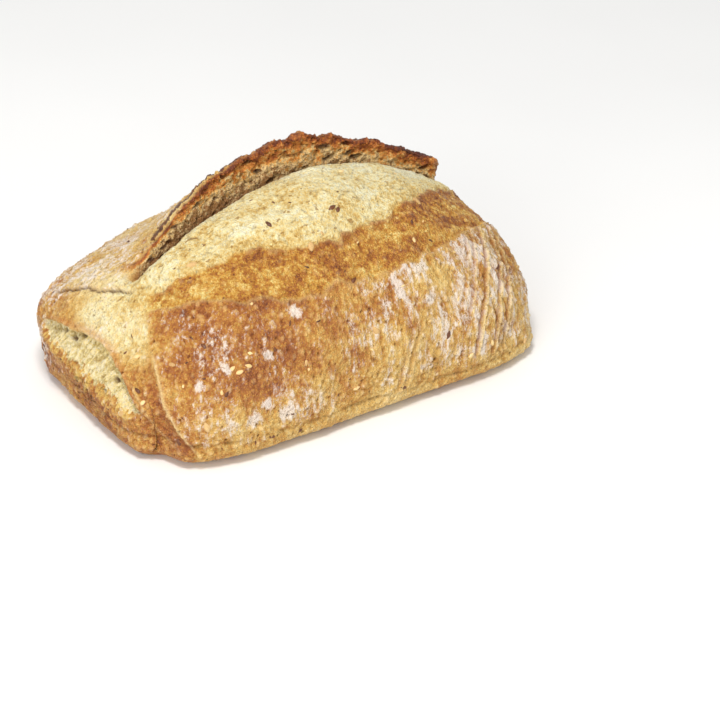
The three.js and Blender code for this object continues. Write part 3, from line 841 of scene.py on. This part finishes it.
def loaf_mesh(grid, crust, name):
    """The bread's mesh, with its fields as attributes and its own map."""
    quads = grid.quads()
    middle = len(crust.points)
    points = np.vstack([crust.points, [[0, 0, 0]]])
    following = np.roll(grid.base_loop, -1)
    fan = np.stack([np.full_like(following, middle), following, grid.base_loop], axis=-1)
    quad_corners = np.concatenate(quads)
    loops = np.concatenate([quad_corners.ravel(), fan.ravel()])
    counts = np.concatenate([np.full(len(quad_corners), 4), np.full(len(fan), 3)])
    starts = np.concatenate([[0], np.cumsum(counts)[:-1]])
    mesh = bpy.data.meshes.new(name)
    mesh.vertices.add(len(points))
    mesh.vertices.foreach_set("co", (points * MM).astype(np.float32).ravel())
    mesh.loops.add(len(loops))
    mesh.loops.foreach_set("vertex_index", loops.astype(np.int32))
    mesh.polygons.add(len(counts))
    mesh.polygons.foreach_set("loop_start", starts.astype(np.int32))
    mesh.polygons.foreach_set("use_smooth", np.ones(len(counts), bool))
    mesh.update(calc_edges=True)
    around_base = points[fan.ravel()][:, [1, 0]] * (1, -1)
    base_uv = (around_base + BASE_PLACE) / SHEET
    patch_uvs = [patch_map(p, place) for p, place in zip(grid.patches, SHEET_PLACES)]
    uv = mesh.uv_layers.new(name="OFBake")
    uv.data.foreach_set("uv", np.vstack([*patch_uvs, base_uv]).astype(np.float32).ravel())
    for field, values in crust.fields.items():
        attribute = mesh.attributes.new(field, "FLOAT", "POINT")
        attribute.data.foreach_set("value", np.append(values, 0).astype(np.float32))
    mesh.validate()
    return mesh


# ---- Materials ------------------------------------------------------------

def linear(red, green, blue):
    """A colour given in screen values from 0 to 255, as a linear shader colour."""
    def channel(value):
        share = value / 255
        return share / 12.92 if share <= 0.04045 else ((share + 0.055) / 1.055) ** 2.4
    return (channel(red), channel(green), channel(blue), 1.0)


# Colour stops of the ramps, from pale to browned, as shares and screen colours.
SKIN_STOPS = [
    (0.08, (252, 224, 156)), (0.25, (240, 200, 118)), (0.42, (223, 174, 88)), (0.56, (206, 143, 62)),
    (0.7, (183, 113, 50)), (0.86, (150, 83, 38)), (1.0, (108, 56, 30)),
]
BAND_STOPS = [
    (0.08, (254, 230, 152)), (0.26, (236, 192, 98)), (0.43, (214, 156, 60)), (0.58, (192, 124, 44)),
    (0.74, (158, 90, 36)), (0.95, (106, 56, 28)),
]
PALE_STOPS = [
    (0.12, (255, 252, 221)), (0.34, (255, 241, 186)), (0.5, (246, 220, 148)), (0.66, (223, 181, 97)),
    (0.85, (172, 124, 56)),
]
EAR_STOPS = [
    (0.05, (190, 142, 84)), (0.2, (246, 220, 166)), (0.36, (252, 212, 136)), (0.5, (240, 168, 78)),
    (0.66, (214, 130, 54)), (0.82, (178, 98, 42)), (1.0, (122, 60, 32)),
]
CRUMB_STOPS = [
    (0.12, (255, 250, 226)), (0.4, (248, 234, 180)), (0.66, (214, 190, 120)), (0.95, (150, 112, 56)),
]

# And from dark to pale.
SCAB_STOPS = [(0.2, (116, 58, 26)), (0.5, (160, 90, 36)), (0.85, (206, 142, 66))]
CHAR_STOPS = [(0.2, (54, 22, 18)), (0.55, (98, 42, 28)), (0.9, (156, 80, 48))]
SHADE_STOPS = [
    (0.1, (146, 120, 96)), (0.35, (212, 198, 184)), (0.55, (248, 245, 240)), (0.8, (255, 255, 255)),
]

BRAN = (168, 122, 58)
STRAND = (250, 216, 118)
BURST_LIP = (206, 130, 60)
# Painted highlight where the skin stands up: its cut edge, its blisters and the crack's flap.
RAISED_HIGHLIGHT = {"edge": (0.5, (240, 200, 132)), "bubble": (0.4, (246, 206, 144)), "flap": (0.5, (240, 202, 148))}
FLOUR = (255, 243, 232)
# Painted shadow in the hollow beside each pleat's ridge.
FOLD_SHADOW = (160, 92, 42)
PLEAT = (255, 226, 164)
# Painted shade in cracks, holes, grooves, pits and the ear's gap.
RECESS_SHADE = (92, 46, 22)


class Nodes:
    """Short ways to add nodes to a material."""

    def __init__(self, name):
        self.material = bpy.data.materials.new(name)
        self.material.use_nodes = True
        self.tree = self.material.node_tree
        self.shader = self.tree.nodes["Principled BSDF"]
        self.place = self.add("TexCoord", {}).outputs["Object"]

    def add(self, kind, inputs, **settings):
        """A new node of a kind, with its settings, and its inputs set or linked."""
        node = self.tree.nodes.new("ShaderNode" + kind)
        for name, value in settings.items():
            setattr(node, name, value)
        for name, value in inputs.items():
            self.link(value, node.inputs[name])
        return node

    def link(self, source, socket):
        if isinstance(source, bpy.types.NodeSocket):
            self.tree.links.new(source, socket)
        else:
            socket.default_value = source

    def math(self, operation, a, b):
        return self.add("Math", {0: a, 1: b}, operation=operation).outputs[0]

    def times(self, a, b):
        return self.math("MULTIPLY", a, b)

    def sum(self, first, *others):
        total = first
        for other in others:
            total = self.math("ADD", total, other)
        return total

    def largest(self, first, *others):
        total = first
        for other in others:
            total = self.math("MAXIMUM", total, other)
        return self.math("MINIMUM", total, 1.0)

    def centred(self, value):
        """A noise value moved to lie round 0, about -0.35 to 0.35."""
        return self.math("SUBTRACT", value, 0.5)

    def field(self, name):
        return self.add("Attribute", {}, attribute_name=name).outputs["Fac"]

    def part(self, name, share):
        """A share of a field."""
        return self.times(self.field(name), share)

    def noise(self, size_mm, detail=3.0, roughness=0.55, stretch=(1, 1, 1)):
        """Noise of about this wavelength; stretch gives a factor for each axis."""
        inputs = {"Scale": 1 / (size_mm * MM), "Detail": detail, "Roughness": roughness}
        inputs["Vector"] = self.place if stretch == (1, 1, 1) else self.stretched(stretch)
        return self.add("TexNoise", inputs).outputs["Fac"]

    def stretched(self, stretch):
        scale = [1 / s for s in stretch]
        return self.add("Mapping", {"Vector": self.place, "Scale": scale}).outputs["Vector"]

    def cells(self, size_mm):
        """Distance to the nearest of scattered spots, about this far apart."""
        return self.add("TexVoronoi", {"Scale": 1 / (size_mm * MM), "Vector": self.place}).outputs["Distance"]

    def between(self, value, low, high):
        """Smooth step of a value from 0 at low to 1 at high."""
        inputs = {"Value": value, "From Min": low, "From Max": high}
        return self.add("MapRange", inputs, interpolation_type="SMOOTHSTEP").outputs["Result"]

    def ramp(self, value, stops):
        node = self.add("ValToRGB", {"Fac": value})
        elements = node.color_ramp.elements
        while len(elements) < len(stops):
            elements.new(0.5)
        for element, (position, colour) in zip(elements, stops):
            element.position = position
            element.color = linear(*colour)
        return node.outputs["Color"]

    def blend(self, share, a, b, kind="MIX"):
        inputs = {"Factor": share, "A": a, "B": b}
        return self.add("Mix", inputs, data_type="RGBA", blend_type=kind).outputs["Result"]

    def bump(self, height, distance_mm, strength):
        inputs = {"Strength": strength, "Distance": distance_mm * MM, "Height": height}
        return self.add("Bump", inputs).outputs["Normal"]

    def finish(self, colour, roughness, normal=None):
        self.link(colour, self.shader.inputs["Base Color"])
        self.link(roughness, self.shader.inputs["Roughness"])
        if normal is not None:
            self.link(normal, self.shader.inputs["Normal"])
        return self.material


class CrustLook(Nodes):
    """The bread's crust: each part of it lays its colours over those before it."""

    def __init__(self):
        super().__init__("bread_crust")
        self.fine = self.centred(self.noise(1.7, 4, 0.72))
        self.speck = self.centred(self.noise(0.85, 3, 0.75))
        self.mottle = self.centred(self.noise(4.6, 4, 0.65))
        self.streak = self.centred(self.noise(1.5, 4, 0.7, (1, 1, 4)))
        self.drift = self.centred(self.noise(3.4, 3, 0.6, (1, 1, 3)))
        self.relief = self.field("fine")
        # Small pebbles, bumped and also painted paler as glints: a painted highlight.
        self.pebbles = self.sum(self.between(self.plus(self.cells(1.3), fine=0.8), 0.5, 0.2), -0.35)
        # Grain: random speck tone, plus the pebbles' painted glints and painted light on the relief, paler
        # where it stands up and darker in its hollows.
        self.grain = self.plus(self.times(self.pebbles, 0.35), speck=-1.3, relief=0.25)
        self.dome_edge = self.plus("dome", fine=3.0, mottle=3.0)
        self.on_dome = self.between(self.dome_edge, -1, 1)
        self.skin_and_band()
        self.pale_dome()
        self.ear()
        self.burst()
        # Painted highlight on the raised cut edge, the blisters and the crack's flap.
        for name, (share, colour) in RAISED_HIGHLIGHT.items():
            self.paint(self.part(name, share), colour)
        self.flour()
        self.folds_and_holes()

    def plus(self, value, **shares):
        """A value, or the field of that name, plus a share of each named texture."""
        total = self.field(value) if isinstance(value, str) else value
        for texture, share in shares.items():
            total = self.sum(total, self.times(getattr(self, texture), share))
        return total

    def paint(self, share, colour):
        """Lay a screen colour, or a ramp's, over what is there."""
        is_ramp = isinstance(colour, bpy.types.NodeSocket)
        self.colour = self.blend(share, self.colour, colour if is_ramp else linear(*colour))

    def skin_and_band(self):
        """The browned skin and band: the regions' own tone, then mottling, then grain with its painted glints
        and painted light.
        """
        skin = self.ramp(self.plus("toast", mottle=0.5, fine=0.6, grain=-0.36), SKIN_STOPS)
        band = self.ramp(self.plus("gold", mottle=0.4, fine=1.1, grain=-0.42), BAND_STOPS)
        self.colour = self.blend(self.between(self.plus("shoulder", fine=1.6), -0.3, 0.3), skin, band)
        scab = self.times(self.field("scab"), self.between(self.mottle, -0.2, 0.05))
        self.paint(self.times(scab, 0.9), self.ramp(self.plus(0.5, fine=1.2), SCAB_STOPS))

    def pale_dome(self):
        """The sandy dome with its bran, and milky patches on the left shoulder."""
        # The grain carries painted glints and painted light; raised sand grains are also painted paler, a
        # painted highlight.
        sandy = self.plus("cream", mottle=0.7, fine=0.9, grain=-0.24)
        pale = self.ramp(self.sum(sandy, self.part("sand", -0.14)), PALE_STOPS)
        bran = self.between(self.noise(3.2, 2, 0.5, (1.6, 1, 1)), 0.66, 0.7)
        pale = self.blend(self.times(bran, 0.75), pale, linear(*BRAN))
        self.paint(self.between(self.dome_edge, -0.8, 0.9), pale)
        milky = self.between(self.plus("milky", mottle=1.2, fine=0.5), 0.3, 0.7)
        self.paint(self.times(milky, 0.85), pale)

    def ear(self):
        """The ear's torn face: pale crumb low down, orange brown above, burnt at the rim."""
        # Protruding crags are painted paler: a painted highlight.
        height = self.sum(self.plus("up_ear", mottle=1.4, fine=1.1), self.part("crags", -0.14))
        self.paint(self.field("torn"), self.ramp(self.plus(height, grain=-0.25), EAR_STOPS))
        charred = self.between(self.plus("burnt", mottle=2.2, fine=0.8), 0.4, 0.6)
        burnt = self.times(charred, self.between(self.field("burnt"), 0.0, 0.2))
        self.paint(self.times(burnt, 0.9), self.ramp(self.plus(0.5, fine=1.6), CHAR_STOPS))

    def burst(self):
        """The burst: pale crumb, golden strands, an orange upper lip."""
        # Painted shade: darker in the hollows between the strands and deep under the lip, paler on the raised
        # relief.
        hollow = self.plus(self.sum(self.part("strands", -0.35), self.part("burst_deep", 0.16)), relief=-0.12)
        tone = self.plus(self.sum(0.5, hollow), fine=1.4, mottle=0.8, grain=-0.35)
        inside = self.between(self.plus("burst", mottle=0.8), 0.25, 0.55)
        self.paint(inside, self.ramp(tone, CRUMB_STOPS))
        strands = self.times(self.field("strands"), self.between(self.fine, -0.3, 0.1))
        self.paint(self.times(strands, 0.8), STRAND)
        self.paint(self.part("burst_lip", 0.5), BURST_LIP)

    def flour(self):
        """Flour clings in streaks and patches, and thinly on what stands proud."""
        cling = self.plus("flour", streak=1.9, drift=1.1, speck=1.2, relief=0.3)
        self.dust = self.times(self.between(cling, 0.3, 0.95), self.between(self.field("flour"), 0.02, 0.2))
        self.paint(self.times(self.dust, 0.82), FLOUR)

    def folds_and_holes(self):
        """Painted shadow in each fold's hollow beside a pale raised line, painted shade in holes, grooves and
        cracks, then a shade over all: the speck noise, and painted shade in the relief's hollows, weaker on
        the dome.
        """
        # Painted shadow in the hollow beside each pleat.
        self.paint(self.part("fold_shadow", 0.75), FOLD_SHADOW)
        self.paint(self.field("pleat"), PLEAT)
        # Painted shade, dark brown, in the crack, pinholes, base groove, the ear's pits and gap, the dome's
        # small cracks and the burst's holes.
        deep = self.largest(
            self.field("crack"), self.part("hole", 0.6), self.part("groove", 0.4), self.field("pits"),
            self.part("chaps", 0.3), self.field("burst_hole"), self.part("gap", 0.6),
        )
        self.paint(self.times(deep, 0.85), RECESS_SHADE)
        # A shade multiplied over all: the speck noise, and painted shade in the relief's hollows; weaker on
        # the dome.
        shade = self.ramp(self.plus(0.56, speck=1.9, relief=0.3), SHADE_STOPS)
        self.colour = self.blend(self.plus(0.95, on_dome=-0.35), self.colour, shade, "MULTIPLY")


def crust_material():
    """The crust's colours, with floury and torn places duller, and its finest grain as bump."""
    look = CrustLook()
    gloss = look.plus(0.38, fine=0.5, dust=0.4, on_dome=0.2)
    roughness = look.math("MINIMUM", look.math("MAXIMUM", gloss, 0.3), 0.95)
    bumps = look.plus(look.times(look.fine, 1.0), speck=0.6, pebbles=0.35, streak=0.5)
    return look.finish(look.colour, roughness, look.bump(bumps, 1.0, 1.0))


def seed_material(name, stops, roughness):
    """A seed's hull: uneven in tone, with a soft sheen."""
    n = Nodes(name)
    tone = n.sum(n.times(n.noise(6, 2), 0.6), n.times(n.noise(0.7, 3), 0.4))
    return n.finish(n.ramp(tone, stops), roughness, n.bump(n.noise(0.5, 3), 0.12, 0.6))


# ---- Colour fields that depend on the finished crust ------------------------

# The regions' tones before patches and mottling: the higher, the browner.
SKIN_TONE = 0.56
BAND_TONE = 0.5
DOME_TONE = 0.39

# Small clots of flour on the near flank: their x and z, and how far they reach.
FLOUR_SPOTS = [
    ((-36, 67), 2.6), ((22.6, 61), 2.2), ((-54.7, 52.6), 2.4), ((-77, 50), 2.0),
    ((-90.7, 43.8), 1.8), ((-68, 24), 3.5), ((-50, 22), 4.5), ((-60, 30), 3.0), ((38, 55), 3.0),
]


def add_toast(crust):
    """How browned each region is: the skin, the band under the dome, and the dome."""
    x, y, z, fields = crust.x, crust.y, crust.z, crust.fields
    near = ease(-20, -50, y)
    patches = 0.3 * crust.rough((30, 30, 22), 30) + 0.22 * crust.rough((9, 9, 12), 33, 3, 0.6)
    rim_back = np.where(crust.face == EAR_FACE, ease(0.84, 0.56, crust.share), 0)
    left_edge = mix(-88, -99, ease(-18, -38, y))
    left_shoulder = ease(0, -7, x - left_edge) * ease(24, -4, y) * ease(-54, -36, y) * ease(34, 56, z)
    browner = (
        0.12 * near * ease(20, -60, x) * ease(24, 46, z)
        + 0.06 * near * np.exp(np.minimum(fields["shoulder"] + 0.8, 0) / 5)
        + 0.04 * ease(-84, -108, x) * ease(-30, -62, y)
        + 0.14 * np.where(x < -96, ease(-0.7, -1.5, (z - BURST_TOP_Z) / BURST_HALF), 0)
        + 0.16 * ease(78, 104, x) * ease(10, 24, z)
        + 0.24 * rim_back * ease(-60, 0, x) * slash_reach(x)
    )
    paler = (
        0.12 * near * ease(-50, 10, x)
        + 0.08 * near * ease(46, 20, z)
        + 0.15 * ease(-90, -106, x) * ease(38, 50, z)
        + 0.34 * ease(-20, -66, x) * ease(-6, 8, y) * ease(48, 66, z)
        + 0.26 * left_shoulder
        + 0.08 * crust.under_groove
    )
    fields["toast"] = SKIN_TONE + browner - paler + patches + crust.puckered
    mottles = 0.4 * crust.rough((15, 9, 9), 36, 4, 0.7)
    fields["gold"] = BAND_TONE + mottles - 0.14 * ease(-40, -88, x) + 0.1 * fields["scab"]
    edge = bell(fields["dome"], 5)
    drift = 0.3 * crust.rough((24, 16, 16), 39)
    fields["cream"] = DOME_TONE + drift + 0.1 * edge - 0.05 * ease(20, 60, x) - 0.06 * ease(-14, 0, y)
    fields["milky"] = left_shoulder * ease(-0.35, 0.2, mottles + 0.25 * ease(-30, -12, y))


def add_flour(crust):
    """Where flour clings: upright streaks on the flanks, patches on the back."""
    x, y, z, fields = crust.x, crust.y, crust.z, crust.fields
    near = ease(-30, -52, y)
    near_right = ease(-30, 40, x) * near * ease(12, 24, z) * mix(1, 0.25, ease(76, 98, x))
    low_left = 0.9 * bell(x + 62, 26) * bell(z - 24, 13) * near
    middle_left = 0.32 * bell(x + 75, 22) * bell(z - 56, 12) * ease(-20, -40, y)
    top_left = 0.5 * ease(-30, -70, x) * ease(-6, 8, y) * ease(52, 64, z)
    ends_and_back = 0.25 * ease(84, 104, x) + 0.7 * ease(20, 45, y)
    where = np.clip(0.2 + near_right + low_left + middle_left + top_left + ends_and_back, 0, 1.0)
    cloud = crust.rough((22, 22, 18), 8)
    streaks = rough(crust.round_place(5.2, 24) + 21, 4, 0.68)
    film = 0.4 * where * ease(-0.4, 0.3, cloud)
    for (spot_x, spot_z), half in FLOUR_SPOTS:
        film = np.maximum(film, 1.2 * bell(np.hypot(x - spot_x, z - spot_z), half) * near)
    bare = (1 - fields["torn"]) * (1 - fields["burst"]) * (1 - fields["burnt"]) * ease(8, 13, z)
    skin = ease(0.4, -0.6, fields["shoulder"]) * bare
    fields["flour"] = skin * (film + 0.5 * where * ease(-0.25, 0.4, streaks + 0.3 * cloud))


# ---- Seeds ----------------------------------------------------------------

SEED_BELTS = [
    {"until": 0.4, "face": NEAR, "start": 0.2, "stop": 1},
    {"until": 0.66, "face": DOME, "start": 0.02, "stop": 0.66},
    {"until": 0.76, "face": EAR_FACE, "start": 0.8, "stop": 0.98},
    {"until": 1, "face": FAR, "start": 0, "stop": 0.75},
]
SEED_KINDS = {
    "linseed": {"size": (4.8, 2.6, 1.7), "sunk": 0.25},
    "sesame": {"size": (4.2, 2.4, 1.6), "sunk": 0.2},
    "oat_flake": {"size": (6.6, 3.8, 2.3), "sunk": 0.4},
}
SEED_LOOKS = {
    "linseed": {"stops": [(0.3, (70, 36, 18)), (0.6, (112, 64, 32))], "roughness": 0.4},
    "sesame": {"stops": [(0.3, (252, 226, 170)), (0.65, (226, 186, 118))], "roughness": 0.55},
    "oat_flake": {"stops": [(0.3, (226, 190, 130)), (0.65, (190, 146, 88))], "roughness": 0.6},
}
# Seeds that stand out on the near side: their kind, x, y and z, turn and size.
NOTED_SEEDS = [
    ("sesame", (-63.1, -68.3, 54.8), 0.9, 1.1), ("sesame", (-74, -69.5, 50.1), 0.1, 1.0),
    ("sesame", (-70.6, -71.3, 48.2), 0.0, 1.1), ("sesame", (-66, -71.2, 50), 0.85, 1.0),
    ("sesame", (-81.4, -72.4, 41), 0.4, 1.0), ("linseed", (-79.7, -73.4, 39.9), 0.2, 0.9),
    ("sesame", (-35.2, -77.3, 41.3), 0.5, 0.8), ("sesame", (-96.5, -61.4, 43), 0.1, 0.9),
    ("oat_flake", (-97.3, -51.6, 50.5), 0.7, 0.7), ("linseed", (6.7, -32.6, 97.3), 0.1, 1.1),
    ("linseed", (9.2, -33.4, 96.8), 0.3, 0.9), ("oat_flake", (-5.7, -41.1, 91.5), 0.6, 0.6),
    ("linseed", (-111.9, -44.5, 36.8), 0.5, 0.9), ("sesame", (-9.2, -75.4, 49.5), 0.5, 0.7),
    ("linseed", (45.7, -45, 84.4), 0.4, 0.7), ("linseed", (51.2, -53.2, 75.8), 0.8, 0.6),
    ("linseed", (-57.3, -79.6, 10.9), 0.05, 0.9), ("linseed", (-41.6, -79.3, 9.3), 0.1, 0.9),
]
SEED_TRIES = 52

# Flecks are broken bits of seed, numbered on from the seeds, dark and pale by turns.
FLECK_FIRST = 100
FLECK_TRIES = 150
FLECK_SIZE = (2.6, 1.1, 0.8)
FLECK_KINDS = {
    "dark_flecks": {"look": "linseed", "sunk": 0.25},
    "pale_flecks": {"look": "sesame", "sunk": 0.2},
}


def seed_place(n):
    """Where the seed numbered n lies: its share of the outline, its face and the share across it."""
    around = halton(n, 3)
    start = 0
    for belt in SEED_BELTS:
        if around < belt["until"]:
            across = (around - start) / (belt["until"] - start)
            return mix(-0.9, 0.9, halton(n, 2)), belt["face"], mix(belt["start"], belt["stop"], across)
        start = belt["until"]


def seed_shape(size, sides=14, rings=9):
    """A pointed seed as points and faces: a flattened drop along X."""
    length, width, height = size
    around = np.linspace(0, 2 * np.pi, sides, endpoint=False)
    points = [(-length / 2, 0, 0)]
    for ring in range(1, rings):
        t = ring / rings
        reach = math.sin(math.pi * t) ** 0.8 * (1 - 0.28 * t) / 2
        for a in around:
            points.append((length * (t - 0.5), width * reach * math.cos(a), height * reach * math.sin(a)))
    points.append((length / 2, 0, 0))
    last = len(points) - 1
    faces = []
    for s in range(sides):
        after = (s + 1) % sides
        faces.append((0, 1 + after, 1 + s))
        for ring in range(rings - 2):
            low = 1 + ring * sides
            faces.append((low + s, low + after, low + sides + after, low + sides + s))
        top = 1 + (rings - 2) * sides
        faces.append((top + s, top + after, last))
    return np.array(points), faces


def scatter(name, seeds, size, sunk, shift, material):
    """One mesh of all the seeds of a kind, each lying in the crust, clear of the burst."""
    m, face, share, spins, grows = (np.array(column, float) for column in zip(*seeds))
    crust = Crust(m, face.astype(int), share)
    shape, faces = seed_shape(size)
    points, polygons = [], []
    for k in np.flatnonzero(crust.fields["burst"] <= 0):
        up = Vector(crust.normal[k])
        turn = Vector((0, 0, 1)).rotation_difference(up).to_matrix()
        spin = Matrix.Rotation(spins[k] * math.pi, 3, "Z")
        frame_of_seed = np.array(turn @ spin) * grows[k]
        centre = crust.points[k] - sunk * np.array(up) + shift
        polygons += [tuple(c + len(points) for c in f) for f in faces]
        points += list(shape @ frame_of_seed.T + centre)
    mesh = bpy.data.meshes.new(name)
    mesh.from_pydata([tuple(p * MM) for p in points], [], polygons)
    mesh.polygons.foreach_set("use_smooth", np.ones(len(polygons), bool))
    mesh.materials.append(material)
    return add_piece(name, mesh)


def noted_places(grid, points, kind):
    """The noted seeds of a kind, each at the crust's point nearest to it."""
    seeds = []
    for noted_kind, place, turn, grow in NOTED_SEEDS:
        if noted_kind == kind:
            k = np.argmin(((points - place) ** 2).sum(axis=1))
            seeds.append((grid.m[k], grid.face[k], grid.share[k], turn, grow))
    return seeds


def spread_seeds(numbers, uneven):
    """Seeds spread evenly by rule; their sizes vary where uneven."""
    return [(*seed_place(n), halton(n, 5), 0.75 + 0.5 * halton(n, 11) if uneven else 1.0) for n in numbers]


def build_seeds(grid, points, shift):
    """Three kinds of whole seeds, then dark and pale flecks, one piece each."""
    looks = {name: seed_material(name, **look) for name, look in SEED_LOOKS.items()}
    for order, (name, kind) in enumerate(SEED_KINDS.items()):
        numbers = [n for n in range(1, SEED_TRIES + 1) if int(halton(n, 7) * len(SEED_KINDS)) == order]
        seeds = spread_seeds(numbers, False) + noted_places(grid, points, name)
        scatter(name, seeds, kind["size"], kind["sunk"], shift, looks[name])
    for order, (name, kind) in enumerate(FLECK_KINDS.items()):
        numbers = range(FLECK_FIRST + order, FLECK_FIRST + FLECK_TRIES, len(FLECK_KINDS))
        flecks = spread_seeds(numbers, True)
        scatter(name, flecks, FLECK_SIZE, kind["sunk"], shift, looks[kind["look"]])


# ---- The bread --------------------------------------------------------------

def build_bread():
    """The bread itself, fitted to the solid's box. Returns its grid, its points and their shift."""
    grid = Grid()
    crust = Crust(grid.m, grid.face, grid.share)
    add_toast(crust)
    add_flour(crust)
    low, high = (np.array(corner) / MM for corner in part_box("loaf"))
    own_low, own_high = crust.points.min(0), crust.points.max(0)
    shift = (low + high - own_low - own_high) / 2
    shift[2] = low[2] - own_low[2]
    crust.points += shift
    mesh = loaf_mesh(grid, crust, "bread")
    mesh.materials.append(crust_material())
    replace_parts(add_piece("bread", mesh), "loaf")
    return grid, crust.points, shift


# ---- Floor, light and camera ------------------------------------------------

FLOOR_HALF = 3.0
FLOOR_STOPS = [(0.3, (246, 246, 245)), (0.7, (249, 249, 248))]
FLOOR_NOISE = 200
FLOOR_ROUGHNESS = 0.9
WORLD_STRENGTH = 0.6
LIGHT_TARGET = (0, 0, 0.05)
LIGHTS = {
    "key": {"place": (-0.35, -0.4, 1.25), "size": 0.35, "power": 10, "colour": (1.0, 0.99, 0.97)},
    "fill": {"place": (-1.1, -0.8, 0.6), "size": 0.9, "power": 7.0, "colour": (1.0, 0.99, 0.98)},
}
CAMERA_AZIMUTH = -31.87
CAMERA_ELEVATION = 30.2
CAMERA_DISTANCE = 1.4
CAMERA_LENS = 137.1
CAMERA_SENSOR = 36
CAMERA_TARGET_Z = 0.045
CAMERA_SHIFT = (0.102, -0.118)


def build_floor():
    mesh = bpy.data.meshes.new("floor")
    corners = [(-1, -1), (1, -1), (1, 1), (-1, 1)]
    mesh.from_pydata([(x * FLOOR_HALF, y * FLOOR_HALF, 0) for x, y in corners], [], [(0, 1, 2, 3)])
    n = Nodes("floor_paper")
    mesh.materials.append(n.finish(n.ramp(n.noise(FLOOR_NOISE, 2), FLOOR_STOPS), FLOOR_ROUGHNESS))
    add_object("floor", mesh)


def add_light(name, place, size, power, colour):
    data = bpy.data.lights.new(name, "AREA")
    data.shape = "DISK"
    data.size = size
    data.energy = power
    data.color = colour
    light = add_object(name, data)
    light.location = place
    light.rotation_euler = (Vector(LIGHT_TARGET) - Vector(place)).to_track_quat("-Z", "Y").to_euler()


def build_lights():
    world = bpy.data.worlds.new("studio")
    world.use_nodes = True
    background = world.node_tree.nodes["Background"]
    background.inputs["Color"].default_value = (1, 1, 1, 1)
    background.inputs["Strength"].default_value = WORLD_STRENGTH
    bpy.context.scene.world = world
    for name, light in LIGHTS.items():
        add_light(name, **light)


def build_camera():
    azimuth, elevation = math.radians(CAMERA_AZIMUTH), math.radians(CAMERA_ELEVATION)
    back = Vector((
        math.sin(azimuth) * math.cos(elevation),
        -math.cos(azimuth) * math.cos(elevation),
        math.sin(elevation),
    ))
    data = bpy.data.cameras.new("camera")
    data.sensor_width = CAMERA_SENSOR
    data.lens = CAMERA_LENS
    data.shift_x, data.shift_y = CAMERA_SHIFT
    camera = add_object("camera", data)
    camera.location = Vector((0, 0, CAMERA_TARGET_Z)) + back * CAMERA_DISTANCE
    camera.rotation_euler = (-back).to_track_quat("-Z", "Y").to_euler()
    bpy.context.scene.camera = camera


bpy.context.scene.view_settings.view_transform = "Standard"
build_camera()
build_lights()
build_floor()
build_seeds(*build_bread())
